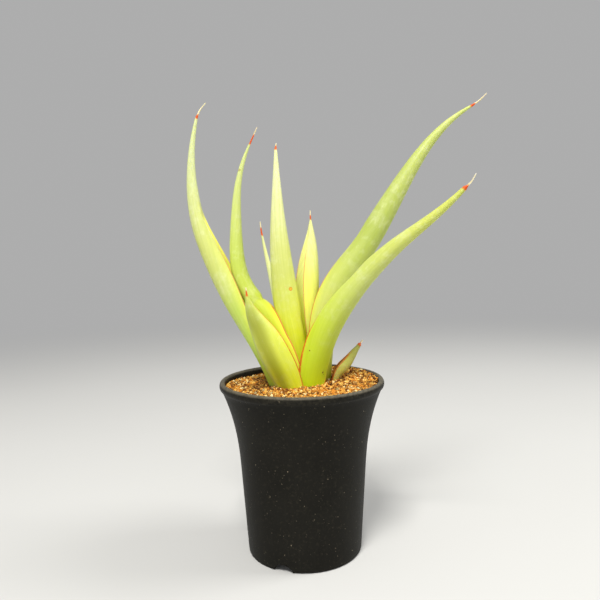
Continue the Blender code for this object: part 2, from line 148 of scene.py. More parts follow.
class Tint(Wire):
    """A colour or a vector that changes over a surface."""

    def part(self, axis: str) -> Wire:
        """Return one part of the vector, X, Y or Z."""
        parts = self.graph.node("ShaderNodeSeparateXYZ", {}, {0: self}, output=axis)
        return Wire(self.graph, parts.socket)

    def towards(self, other: "Tint | Colour", share: Wire | Number) -> "Tint":
        """Mix this colour with another.

        Args:
            other: The colour at a share of 1.
            share: How much of the other colour there is.

        Returns:
            The mixed colour.
        """
        return self.graph.blend(share, self, other)

    def times(self, factors: "Tint | Colour") -> "Tint":
        """Multiply the vector's parts by factors."""
        settings = {"operation": "MULTIPLY"}
        found = self.graph.node("ShaderNodeVectorMath", settings, {0: self, 1: factors})
        return Tint(self.graph, found.socket)

    def shifted(self, by: "Tint | Colour") -> "Tint":
        """Add a vector to this one."""
        found = self.graph.node("ShaderNodeVectorMath", {"operation": "ADD"}, {0: self, 1: by})
        return Tint(self.graph, found.socket)

    def gap_to(self, place: "Tint | Colour") -> Wire:
        """Return the distance from a place."""
        settings = {"operation": "DISTANCE"}
        return self.graph.node("ShaderNodeVectorMath", settings, {0: self, 1: place}, output="Value")


class Graph:
    """A material's nodes, ending in one Principled shader."""

    def __init__(self, name: str) -> None:
        """Start a material that holds only its shader and its output.

        Args:
            name: The material's name.
        """
        self.material = bpy.data.materials.new(name)
        self.material.use_nodes = True
        self.tree = self.material.node_tree
        self.shader = self.tree.nodes["Principled BSDF"]

    def node(
        self,
        kind: str,
        settings: dict[str, object],
        inputs: dict[str | int, object],
        output: str | int = 0,
    ) -> Wire:
        """Add any node.

        Args:
            kind: The node's type.
            settings: Its properties, set before its sockets.
            inputs: Numbers, colours or wires for its sockets, by name or place.
            output: The socket to read.

        Returns:
            The output as a wire.
        """
        made = self.tree.nodes.new(kind)
        for name, value in settings.items():
            setattr(made, name, value)
        for key, value in inputs.items():
            self._feed(made.inputs[key], value)
        return Wire(self, made.outputs[output])

    def _feed(self, socket: bpy.types.NodeSocket, value: object) -> None:
        """Link a wire to a socket, or set the socket's own value.

        Args:
            socket: The input to feed.
            value: A wire, a number, a vector or a colour.
        """
        if isinstance(value, Wire):
            self.tree.links.new(value.socket, socket)
        elif isinstance(value, tuple) and socket.type == "RGBA":
            socket.default_value = (*value[:3], 1.0)
        else:
            socket.default_value = value

    def blend(self, share: Wire | Number, first: Tint | Colour, second: Tint | Colour) -> Tint:
        """Mix two colours.

        Args:
            share: How much of the second colour there is.
            first: The colour at 0.
            second: The colour at 1.

        Returns:
            The mixed colour.
        """
        settings = {"data_type": "RGBA", "blend_type": "MIX", "clamp_factor": True}
        mixed = self.node("ShaderNodeMix", settings, {0: share, 6: first, 7: second}, output=2)
        return Tint(self, mixed.socket)

    def place(self) -> Tint:
        """Return the surface point in the object's own coordinates, in millimetres."""
        found = self.node("ShaderNodeTexCoord", {}, {}, output="Object")
        return Tint(self, found.socket).times((1.0 / MM, 1.0 / MM, 1.0 / MM))

    def mark(self, name: str) -> Wire:
        """Return a number stored on the mesh."""
        return self.node("ShaderNodeAttribute", {"attribute_name": name}, {}, output="Fac")

    def skin(self, name: str) -> Tint:
        """Return a vector stored on the mesh."""
        found = self.node("ShaderNodeAttribute", {"attribute_name": name}, {}, output="Vector")
        return Tint(self, found.socket)

    def noise(self, where: Tint, scale: Number, detail: Number = 2.0, rough: Number = 0.5) -> Wire:
        """Return soft noise.

        Args:
            where: The point to read it at.
            scale: How many grains there are per unit.
            detail: How many finer layers are added.
            rough: How strong the finer layers are.

        Returns:
            The noise, about 0.3 to 0.7.
        """
        inputs = {"Vector": where, "Scale": scale, "Detail": detail, "Roughness": rough}
        return self.node("ShaderNodeTexNoise", {"noise_dimensions": "3D"}, inputs, output="Fac")

    def cells(self, where: Tint, scale: Number) -> Wire:
        """Return the distance from the nearest of many scattered points."""
        inputs = {"Vector": where, "Scale": scale}
        return self.node("ShaderNodeTexVoronoi", {"feature": "F1"}, inputs, output="Distance")

    def bump(self, height: Wire, depth_mm: Number, strength: Number = 1.0) -> Wire:
        """Return a normal that a height pattern tilts.

        Args:
            height: The pattern, 0 to 1.
            depth_mm: How deep its relief is.
            strength: How much of the relief shows.

        Returns:
            The tilted normal.
        """
        inputs = {"Height": height, "Distance": depth_mm * MM, "Strength": strength}
        return self.node("ShaderNodeBump", {}, inputs, output="Normal")

    def finish(self, **sockets: object) -> bpy.types.Material:
        """Feed the Principled shader and hand over the material.

        Args:
            sockets: Values by socket name, with underscores for spaces.

        Returns:
            The finished material.
        """
        for name, value in sockets.items():
            self._feed(self.shader.inputs[name.replace("_", " ")], value)
        return self.material


# ---------------------------------------------------------------------------
# Finishes
# ---------------------------------------------------------------------------


class Slot(Enum):
    """The record's material slots."""

    POT = "pot_plastic"
    MIX = "potting_mix_grain"
    ROOT = "root_bark"
    LEAF = "leaf_skin"


@dataclass(frozen=True)
class Spot:
    """A small blemish on a leaf: a ring of one colour round a middle of another.

    The place is across and along the leaf's skin, in millimetres.
    """

    across: float
    along: float
    radius: float
    edge: Colour
    core: Colour
    strength: float = 0.85


class SkinPatterns:
    """What a leaf's skin colours follow: marks on its mesh and noises laid along the leaf."""

    def __init__(self, g: Graph, length: float) -> None:
        """Read the marks and lay the noises.

        Args:
            g: The material's nodes.
            length: The leaf's length in millimetres.
        """
        self.skin = g.skin("skin")
        self.inner = g.mark("inner")
        self.margin = g.mark("margin_mm")
        self.openness = g.mark("open")
        self.ring = g.mark("ring_mm")
        around = g.place()
        self.streak = g.noise(self.skin.times((0.8, 0.012, 1.0)), 1.0, 2.0, 0.5)
        self.fine = g.noise(self.skin.times((1.8, 0.03, 1.0)), 1.0, 1.0, 0.5)
        self.cloud = g.noise(around.times((0.05, 0.05, 0.05)), 1.0, 3.0, 0.55)
        self.mottle = g.noise(self.skin.times((0.45, 0.28, 1.0)), 1.0, 3.0, 0.6)
        self.band = g.noise(self.skin.times((0.05, 0.16, 1.0)), 1.0, 2.0, 0.5)
        wander = (self.cloud - 0.5) * 0.16 + (self.streak - 0.5) * 0.10
        self.share = self.skin.part("Y") / length + wander
        streaks = ((self.streak - 0.5) * 1.6 + (self.fine - 0.5) * 1.0).between(-0.45, 0.45)
        self.furrow = 1.0 - streaks


BLOOM: Colour = (0.86, 0.88, 0.60)
FURROW: Colour = (0.36, 0.47, 0.04)
# Painted glow: the yellow that the thin edges of an open channel take, as if lit through from behind.
PAINTED_EDGE_GLOW: Colour = (0.86, 0.86, 0.08)
# Painted shade for the fold down a leaf's back, and painted light for the skin beside it.
KEEL_PAINTED_SHADE: Colour = (0.26, 0.27, 0.01)
KEEL_PAINTED_LIGHT: Colour = (0.52, 0.66, 0.24)
RUST: Colour = ink(238, 122, 34)
DEEP_RUST: Colour = ink(206, 74, 20)
CORK: Colour = ink(246, 226, 178)
RED_BAND: Colour = ink(214, 84, 18)
STRAW: Colour = ink(240, 230, 196)
DARK_STRAW: Colour = ink(214, 190, 146)


@dataclass(frozen=True)
class LeafFinish:
    """Colour of one leaf's skin, from its sap-yellow foot to its dry tip.

    foot, low, middle and high are the skin's colours at the foot, at a quarter, at half and
    at the top of the leaf. inside and inside_high colour the channel's inner face low down and
    near the top; most leaves keep them light, which paints the light shining through the thin
    walls. wing is how strongly the channel's thin edges are painted yellow, as if lit through
    from behind, keel how much shade is painted into the fold down the back and light beside
    it, and rim how broad the red line along the margin is, in millimetres. flush_from and
    flush_to are where the red band begins and ends, in millimetres from the ring.
    """

    foot: Colour = (0.60, 0.68, 0.0)
    low: Colour = (0.62, 0.70, 0.05)
    middle: Colour = (0.66, 0.74, 0.20)
    high: Colour = (0.74, 0.77, 0.33)
    inside: Colour = (0.80, 0.82, 0.05)
    inside_high: Colour = (0.78, 0.80, 0.25)
    painted_wing_glow: float = 0.4
    painted_keel_shade: float = 0.0
    rim: float = 0.7
    flush_from: float = -1.5
    flush_to: float = 1.5
    spots: tuple[Spot, ...] = ()

    def material(self, name: str, length: float) -> bpy.types.Material:
        """Make the skin's material.

        Args:
            name: The material's name.
            length: The leaf's length in millimetres.

        Returns:
            The material, which reads the marks that a leaf's mesh carries.
        """
        g = Graph(name)
        made = SkinPatterns(g, length)
        colour = self.flesh(g, made)
        colour = self.fold(colour, made)
        colour = self.edge(g, colour, made)
        for spot in self.spots:
            gap = made.skin.gap_to((spot.across, spot.along, 0.0)) / spot.radius
            colour = colour.towards(spot.edge, gap.between(1.15, 0.85) * spot.strength)
            colour = colour.towards(spot.core, gap.between(0.75, 0.45) * spot.strength)

        reach = made.ring + (made.fine - 0.5) * 1.4 + (made.streak - 0.5) * 1.0
        flush = reach.between(self.flush_from - 1.0, self.flush_from + 0.5)
        colour = colour.towards(RED_BAND, flush)
        dry = reach.between(self.flush_to - 0.6, self.flush_to + 1.2)
        colour = colour.towards(g.blend(made.fine.between(0.3, 0.7), STRAW, DARK_STRAW), dry)

        relief = made.streak * 0.55 + made.fine * 0.3 + made.mottle * 0.15
        rough = 0.46 + (made.mottle - 0.5) * 0.25 + dry * 0.3 + made.furrow * 0.05
        return g.finish(
            Base_Color=colour,
            Roughness=rough.held(),
            Normal=g.bump(relief, 0.16, 0.6),
            Subsurface_Weight=0.35,
            Subsurface_Radius=(1.0, 1.05, 0.25),
            Subsurface_Scale=0.0025,
            Specular_IOR_Level=0.35,
            IOR=1.45,
        )

    def flesh(self, g: Graph, made: SkinPatterns) -> Tint:
        """Colour the skin from foot to top, with its bloom and furrows, the painted glow on its thin
        edges and the channel's inner face with its painted light.

        Args:
            g: The material's nodes.
            made: The leaf's patterns.

        Returns:
            The colour.
        """
        share, cloud, mottle = made.share, made.cloud, made.mottle
        colour = g.blend(share.between(0.05, 0.30), self.foot, self.low)
        colour = colour.towards(self.middle, share.between(0.25, 0.55))
        colour = colour.towards(self.high, share.between(0.50, 0.92))
        chalk = ((cloud - 0.5) * 0.9 + (mottle - 0.5) * 0.9 + (made.band - 0.5) * 0.5).held()
        colour = colour.towards(BLOOM, chalk * share.between(0.15, 0.6))
        colour = colour.towards(FURROW, made.furrow * 0.20)
        # Painted glow on the channel's thin edges, as if light shone through them.
        thin = made.margin.between(7.0, 0.5) * made.openness * self.painted_wing_glow
        colour = colour.towards(PAINTED_EDGE_GLOW, thin)
        # The inner face's colour, kept light on most leaves, which paints the light shining through the
        # thin walls into the channel.
        lining = g.blend(share.between(0.30, 0.80), self.inside, self.inside_high)
        lining = lining.towards(FURROW, made.furrow * 0.15)
        return colour.towards(lining, made.inner * made.openness.between(0.0, 0.2))

    def fold(self, colour: Tint, made: SkinPatterns) -> Tint:
        """Paint shade into the fold down the leaf's back and paint light on the skin beside it.

        Args:
            colour: The skin's colour so far.
            made: The leaf's patterns.

        Returns:
            The colour with its painted fold shade and light.
        """
        # Painted shade down the fold's middle and painted light to one side of it, standing in for how
        # the fold is lit.
        place = made.skin.part("X") + (made.cloud - 0.5) * 3.0
        dark = place.between(-4.5, -0.5) * place.between(6.5, 1.0) * made.share.between(1.0, 0.75)
        colour = colour.towards(KEEL_PAINTED_SHADE, dark * self.painted_keel_shade)
        return colour.towards(KEEL_PAINTED_LIGHT, place.between(-3.0, -6.0) * self.painted_keel_shade * 0.9)

    def edge(self, g: Graph, colour: Tint, made: SkinPatterns) -> Tint:
        """Draw the broken rust line beside the margin and the corky line on it.

        Args:
            g: The material's nodes.
            colour: The skin's colour so far.
            made: The leaf's patterns.

        Returns:
            The colour with its margins.
        """
        line = made.margin.between(self.rim + 0.15, self.rim - 0.2)
        line = line * made.openness.between(0.30, 0.65)
        rust = g.blend((made.streak * 2.0 - 0.5).held(), RUST, DEEP_RUST)
        broken = g.noise(made.skin.times((0.2, 0.5, 1.0)), 1.0, 2.0, 0.6).between(0.25, 0.45)
        colour = colour.towards(rust, line * (broken * 0.45 + 0.5))
        cork = made.margin.between(0.22, 0.1) * made.openness.between(0.05, 0.3)
        return colour.towards(CORK, cork * (1.0 - broken * 0.5) * 0.5)


@dataclass(frozen=True)
class PotFinish:
    """Satin black plastic with a fine moulded grain, specks of dust and a painted highlight along the
    lip.
    """

    black: Colour = ink(19, 18, 13)
    faded: Colour = ink(30, 29, 24)
    wear_and_sheen: Colour = ink(66, 62, 50)
    crest_highlight: Colour = ink(104, 98, 84)
    dust: Colour = ink(206, 190, 160)

    def material(self, name: str, lip_mm: float) -> bpy.types.Material:
        """Make the plastic.

        Args:
            name: The material's name.
            lip_mm: The height at which the lip begins.

        Returns:
            The material.
        """
        g = Graph(name)
        place = g.place()
        height = place.part("Z")
        grain = g.noise(place, 1.9, 2.0, 0.6)
        skin = g.noise(place, 0.55, 3.0, 0.6)
        cloud = g.noise(place, 0.045, 3.0, 0.6)
        run = g.noise(place.times((0.35, 0.35, 0.03)), 1.0, 2.0, 0.5)
        lip = height.between(lip_mm - 1.0, lip_mm + 1.2)

        speck = g.cells(place.shifted((3.0, 7.0, 1.0)), 0.16)
        size = g.noise(place, 0.12, 0.0, 0.5)
        specks = (size * 0.075 - speck).between(0.0, 0.014)
        fleck = g.noise(place, 0.9, 1.0, 0.5).between(0.74, 0.80)

        colour = g.blend((cloud - 0.35).between(0.0, 0.35) * 0.35, self.black, self.faded)
        # Painted highlight: a light band along the top of the lip and a fainter sheen over the whole lip.
        crest = height.between(lip_mm + 3.2, lip_mm + 4.7)
        colour = colour.towards(self.wear_and_sheen, lip * skin.between(0.35, 0.65) * 0.2)
        colour = colour.towards(self.crest_highlight, crest * (skin.between(0.3, 0.6) * 0.4 + 0.5))
        colour = colour.towards(self.wear_and_sheen, run.between(0.5, 0.8) * 0.04)
        colour = colour.towards(self.wear_and_sheen, skin.between(0.5, 0.75) * 0.22)
        colour = colour.towards(self.dust, specks * 0.55)
        colour = colour.towards(self.dust, fleck * 0.25)
        rough = 0.56 + (skin - 0.5) * 0.25 + (cloud - 0.5) * 0.12 - lip * 0.06
        return g.finish(
            Base_Color=colour,
            Roughness=rough.held(),
            Normal=g.bump(grain * 0.7 + skin * 0.3, 0.10, 0.8),
            Specular_IOR_Level=0.14,
            IOR=1.46,
        )


@dataclass(frozen=True)
class GrainFinish:
    """Baked clay and pumice grains: each grain has its own tone, and damp ones are darker; the same
    darkening paints shade on grains in the mix's hollows.
    """

    amber: Colour = ink(206, 132, 40)
    honey: Colour = ink(236, 188, 92)
    cream: Colour = ink(250, 230, 168)
    brown: Colour = ink(108, 62, 20)
    damp: Colour = ink(44, 27, 12)

    def material(self, name: str) -> bpy.types.Material:
        """Make the grains' material.

        Args:
            name: The material's name.

        Returns:
            The material, which reads each grain's tone and its mark for dampness and painted shade.
        """
        g = Graph(name)
        place = g.place()
        tone = g.mark("tone")
        damp_and_hollow_shade = g.mark("damp")
        pit = g.noise(place, 2.6, 2.0, 0.7)
        patch = g.noise(place, 0.9, 2.0, 0.6)
        colour = g.blend(tone.between(0.08, 0.42), self.brown, self.amber)
        colour = colour.towards(self.honey, tone.between(0.45, 0.85))
        colour = colour.towards(self.cream, tone.between(0.86, 0.95))
        colour = colour.towards(self.brown, pit.between(0.5, 0.75) * 0.5)
        # The damp colour also paints shade on the grains that lie in the mix's hollows.
        colour = colour.towards(self.damp, damp_and_hollow_shade * (0.72 + (patch - 0.5) * 0.8))
        return g.finish(
            Base_Color=colour,
            Roughness=(0.93 - damp_and_hollow_shade * 0.2 + (patch - 0.5) * 0.1).held(),
            Normal=g.bump(pit, 0.18, 0.9),
            Specular_IOR_Level=0.3,
        )


@dataclass(frozen=True)
class BedFinish:
    """The fine mix between and under the top grains, with shade painted into its gaps."""

    clay: Colour = ink(150, 90, 24)
    shade: Colour = ink(52, 30, 12)
    crumb: Colour = ink(214, 152, 60)
    damp: Colour = ink(40, 24, 10)

    def material(self, name: str) -> bpy.types.Material:
        """Make the bed's material.

        Args:
            name: The material's name.

        Returns:
            The material.
        """
        g = Graph(name)
        place = g.place()
        cell = g.cells(place, 0.85)
        fine = g.noise(place, 1.6, 3.0, 0.7)
        cloud = g.noise(place, 0.2, 2.0, 0.5)
        # Painted shade: the low gaps between the bed's cells are darker.
        colour = g.blend(cell.between(0.15, 0.6), self.clay, self.shade)
        colour = colour.towards(self.crumb, fine.between(0.58, 0.78) * 0.4)
        colour = colour.towards(self.damp, cloud.between(0.5, 0.75) * 0.5)
        return g.finish(
            Base_Color=colour,
            Roughness=(0.9 + (fine - 0.5) * 0.1).held(),
            Normal=g.bump(1.0 - cell + fine * 0.4, 0.6, 1.0),
        )


@dataclass(frozen=True)
class RootFinish:
    """Ochre rhizome bark with dark rings."""

    ring: Colour = ink(150, 92, 40)
    bark: Colour = ink(206, 146, 74)
    fibre: Colour = ink(84, 48, 24)

    def material(self, name: str) -> bpy.types.Material:
        """Make the bark.

        Args:
            name: The material's name.

        Returns:
            The material.
        """
        g = Graph(name)
        place = g.place()
        ringed = g.noise(place.times((0.12, 0.12, 0.9)), 1.0, 3.0, 0.6)
        fibre = g.noise(place.times((1.4, 1.4, 0.2)), 1.0, 3.0, 0.6)
        colour = g.blend(ringed.between(0.35, 0.65), self.ring, self.bark)
        colour = colour.towards(self.fibre, fibre.between(0.55, 0.8) * 0.6)
        return g.finish(
            Base_Color=colour,
            Roughness=(0.8 + (fibre - 0.5) * 0.2).held(),
            Normal=g.bump(ringed * 0.6 + fibre * 0.4, 0.5, 0.9),
        )


# ---------------------------------------------------------------------------
# Shapes shared by the pieces
# ---------------------------------------------------------------------------


def eased(share: float) -> float:
    """Return a share of 0 to 1 with its ends flattened."""
    held = min(max(share, 0.0), 1.0)
    return held * held * (3.0 - 2.0 * held)


def through(values: tuple[float, ...], share: float) -> float:
    """Read a smooth curve through evenly spaced values.

    Args:
        values: The values that the curve passes.
        share: Where to read it, 0 at the first value and 1 at the last.

    Returns:
        The curve's value.
    """
    last = len(values) - 1
    spot = min(max(share, 0.0), 1.0) * last
    index = min(int(spot), last - 1)
    step = spot - index
    here, after = values[index], values[index + 1]
    before = values[index - 1] if index > 0 else 2.0 * here - after
    beyond = values[index + 2] if index + 2 <= last else 2.0 * after - here
    linear = after - before
    square = 2.0 * before - 5.0 * here + 4.0 * after - beyond
    cube = 3.0 * here - before - 3.0 * after + beyond
    return 0.5 * (2.0 * here + linear * step + square * step**2 + cube * step**3)


def show(name: str, work: bmesh.types.BMesh, material: bpy.types.Material) -> bpy.types.Object:
    """Turn a finished bmesh into a smooth, dressed piece at the origin.

    Args:
        name: The piece's name.
        work: The bmesh, in metres in the row frame, which is freed.
        material: What it is made of.

    Returns:
        The piece.
    """
    mesh = bpy.data.meshes.new(name)
    work.to_mesh(mesh)
    work.free()
    mesh.materials.append(material)
    mesh.shade_smooth()
    piece = bpy.data.objects.new(name, mesh)
    bpy.context.scene.collection.objects.link(piece)
    return piece


def adopt(piece: bpy.types.Object, slot: Slot, *nodes: str) -> bpy.types.Object:
    """Let a piece ride with the plant and stand for CAD nodes.

    Args:
        piece: The piece.
        slot: The material slot that the piece belongs to; not used.
        nodes: The CAD nodes that it replaces.

    Returns:
        The piece.
    """
    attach(piece, BODY)
    if nodes:
        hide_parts(*nodes)
    log.info("%s: %d faces", piece.name, len(piece.data.polygons))
    return piece


# ---------------------------------------------------------------------------
# Leaves
# ---------------------------------------------------------------------------

CLOSED_WRAP = 172.0  # degrees from the back's middle to the margin of a closed channel
MARGIN_MM = 0.5  # how thick the channel's lips are
LEAST_WALL = 0.3  # what the channel leaves of the back, in millimetres
ROUNDING_POWER = 9  # the section turns into a plain oval late, just under the ring
CROWDING = 0.94  # under 1, so sections lie closer together towards the ring
DRY_RADIUS = 0.6  # where the dry tip leaves the ring, in millimetres
TIP_END_RADIUS = 0.288
TIP_NARROWS_BY = 0.2  # this and the next three are shares of the dry tip's length
TIP_ROUNDS_FROM = 0.93
TIP_BENDS_FROM = 0.35
TIP_BENDS_OVER = 0.3
WIDEST_GIRTH = 24.0  # past this width the skin's furrows stop growing coarser, in millimetres


@dataclass(frozen=True)
class Leaf:
    """One leaf's growth and finish, with sizes in millimetres and angles in degrees.

    foot is measured from the pot's axis. leans and half_widths are read at even steps from
    foot to ring, and the channel closes between closes_from and closes_by of the length. It
    stays deep for longer where channel_hold is small.
    """

    node: str
    foot: tuple[float, float]
    bearing: float
    length: float
    leans: tuple[float, ...]
    half_widths: tuple[float, ...]
    face_turn: float
    wrap: float
    closes_by: float
    wall: float
    roundness: float
    tip_length: float
    tip_leans: tuple[float, float]
    finish: LeafFinish
    face_twist: float = 0.0
    closes_from: float = 0.0
    channel_hold: float = 0.4


@dataclass
class Blade:
    """Builds one leaf's mesh: a channelled sheath that closes into a round, pointed blade."""

    leaf: Leaf
    axis: Vector
    foot_level: float
    stations: int = 150
    tip_stations: int = 14
    outer_points: int = 43
    margin_points: int = 3
    inner_points: int = 25
    spine_steps: int = 600

    def direction(self, lean: float) -> np.ndarray:
        """Work out a direction that leans towards the leaf's bearing.

        Args:
            lean: Its angle from upright in degrees.

        Returns:
            The direction, one unit long.
        """
        angle, bearing = math.radians(lean), math.radians(self.leaf.bearing)
        level = math.sin(angle)
        return np.array([level * math.cos(bearing), level * math.sin(bearing), math.cos(angle)])

    def axes(self, share: float) -> tuple[np.ndarray, np.ndarray]:
        """Work out which way a section lies.

        Args:
            share: Where it is, 0 at the foot and 1 at the ring.

        Returns:
            Its across and inward directions.
        """
        lean = through(self.leaf.leans, share)
        facing = self.direction(lean - 90.0)
        sideways = np.cross(facing, self.direction(lean))
        turn = math.radians(self.leaf.face_turn + self.leaf.face_twist * share)
        across = math.cos(turn) * sideways + math.sin(turn) * facing
        return across, math.cos(turn) * facing - math.sin(turn) * sideways

    def spine(self) -> list[np.ndarray]:
        """Follow the leaf's middle up from its foot.

        Returns:
            Evenly spaced points in millimetres.
        """
        step = self.leaf.length / self.spine_steps
        foot = (self.leaf.foot[0] + self.axis.x, self.leaf.foot[1] + self.axis.y)
        points = [np.array([*foot, self.foot_level])]
        for index in range(self.spine_steps):
            lean = through(self.leaf.leans, (index + 0.5) / self.spine_steps)
            points.append(points[-1] + self.direction(lean) * step)
        return points

    def section(self, share: float) -> tuple[np.ndarray, np.ndarray, float]:
        """Work out the section at a share of the length.

        Args:
            share: 0 at the foot, 1 at the ring.

        Returns:
            The section's points, their distance from the nearer margin with the inner face
            counted negative, and how open the channel is.
        """
        leaf = self.leaf
        half = through(leaf.half_widths, share)
        closing = eased((share - leaf.closes_from) / (leaf.closes_by - leaf.closes_from))
        wrap = math.radians(leaf.wrap + (CLOSED_WRAP - leaf.wrap) * closing)
        depth = half * (leaf.roundness + (1.0 - leaf.roundness) * closing)
        level = -depth * math.cos(wrap)
        mouth = half * math.sin(wrap)
        edge = min(MARGIN_MM, 0.45 * mouth)
        channel = max(level + depth - leaf.wall, 0.0) * (1.0 - closing) ** leaf.channel_hold
        channel = min(channel, level + depth - LEAST_WALL)
        outer = np.linspace(-wrap, wrap, self.outer_points)
        points = [(half * math.sin(turn), -depth * math.cos(turn)) for turn in outer]
        gaps = [half * (wrap - abs(turn)) + 0.5 * edge for turn in outer]
        lip = [math.pi * (step + 1) / (self.margin_points + 1) for step in range(self.margin_points)]
        bead = [(mouth - edge * (0.5 - 0.5 * math.cos(t)), level + 0.5 * edge * math.sin(t)) for t in lip]
        bead_gaps = [0.25 * edge * abs(math.cos(t)) for t in lip]
        points += bead
        gaps += bead_gaps
        for turn in np.linspace(0.5 * math.pi, -0.5 * math.pi, self.inner_points):
            side, dip = (mouth - edge) * math.sin(turn), channel * math.cos(turn)
            points.append((side, level - dip))
            gaps.append(-(math.hypot(mouth - edge - abs(side), dip) + 0.5 * edge))
        points += [(-x, y) for x, y in reversed(bead)]
        gaps += bead_gaps
        found = np.array(points)
        rounding = max(closing, share) ** ROUNDING_POWER
        count = len(points)
        first = -math.pi * (self.outer_points - 1) / count
        turns = first + 2.0 * math.pi * np.arange(count) / count
        oval = np.stack([half * np.sin(turns), -depth * np.cos(turns)], -1)
        openness = min(mouth / half, 1.0) * (1.0 - rounding)
        return found * (1.0 - rounding) + oval * rounding, np.array(gaps), openness

    def rings(self) -> list[tuple[np.ndarray, np.ndarray, float, float, float]]:
        """Work out every ring from the foot to the end of the dry tip.

        Returns:
            Each ring's points, margin distances, openness, distance up the leaf and
            distance past the ring, all in millimetres.
        """
        spine = self.spine()
        found = []
        for station in range(self.stations):
            share = (station / (self.stations - 1)) ** CROWDING
            spot = min(share * self.spine_steps, self.spine_steps - 1e-6)
            low = int(spot)
            centre = spine[low] + (spine[low + 1] - spine[low]) * (spot - low)
            across, inward = self.axes(share)
            flat, gaps, openness = self.section(share)
            points = centre + flat[:, :1] * across + flat[:, 1:] * inward
            along = share * self.leaf.length
            found.append((points, gaps, openness, along, along - self.leaf.length))
        found[0][0][:, 2] = self.foot_level
        radius = self.leaf.half_widths[-1]
        shape = (found[-1][0] - spine[-1]) / radius
        centre = spine[-1]
        gaps = found[-1][1]
        low_lean, high_lean = self.leaf.tip_leans
        dry = min(DRY_RADIUS, radius)
        for step in range(self.tip_stations):
            share = (step + 1) / self.tip_stations
            bend = eased((share - TIP_BENDS_FROM) / TIP_BENDS_OVER)
            lean = low_lean + (high_lean - low_lean) * bend
            centre = centre + self.direction(lean) * self.leaf.tip_length / self.tip_stations
            size = dry + (TIP_END_RADIUS - dry) * share
            size += (radius - dry) * max(1.0 - share / TIP_NARROWS_BY, 0.0) ** 2
            rounded = max(share - TIP_ROUNDS_FROM, 0.0) / (1.0 - TIP_ROUNDS_FROM)
            size *= math.sqrt(1.0 - 0.8 * rounded**2)
            past = share * self.leaf.tip_length
            found.append((centre + shape * size, gaps, 0.0, self.leaf.length + past, past))
        return found

    def build(self) -> bpy.types.Object:
        """Roll a grid into the leaf, close it, mark it and dress it.

        Returns:
            The leaf.
        """
        rings = self.rings()
        count = len(rings[0][0])
        work = bmesh.new()
        bmesh.ops.create_grid(work, x_segments=count, y_segments=len(rings) - 1, size=0.5)
        skin = work.verts.layers.float_vector.new("skin")
        layers = {
            name: work.verts.layers.float.new(name)
            for name in ("inner", "margin_mm", "open", "ring_mm")
        }
        for vert in work.verts:
            column = round((vert.co.x + 0.5) * count)
            points, gaps, openness, along, past = rings[round((vert.co.y + 0.5) * (len(rings) - 1))]
            index = column % count
            vert.co = Vector(points[index]) * MM
            gap = float(gaps[index])
            vert[skin] = Vector((self.girth(column, points), along, 0.0))
            vert[layers["inner"]] = 1.0 if gap < 0.0 else 0.0
            vert[layers["margin_mm"]] = abs(gap)
            vert[layers["open"]] = openness
            vert[layers["ring_mm"]] = past
        bmesh.ops.remove_doubles(work, verts=work.verts, dist=1e-8)
        rims = [edge for edge in work.edges if edge.is_boundary]
        bmesh.ops.edgeloop_fill(work, edges=rims)
        bmesh.ops.recalc_face_normals(work, faces=work.faces)
        finish = self.leaf.finish.material(self.leaf.node, self.leaf.length)
        return adopt(show(self.leaf.node + "_skin", work, finish), Slot.LEAF, self.leaf.node)

    def girth(self, column: int, points: np.ndarray) -> float:
        """Work out how far round the section a column lies, from the back's middle.

        Args:
            column: The column's number.
            points: The section's points in millimetres.

        Returns:
            The distance, counted as if the section were about three widths round.
        """
        middle = (self.outer_points - 1) / 2.0
        width = float(np.ptp(points, axis=0).max())
        return (column - middle) / len(points) * 3.0 * min(width, WIDEST_GIRTH)


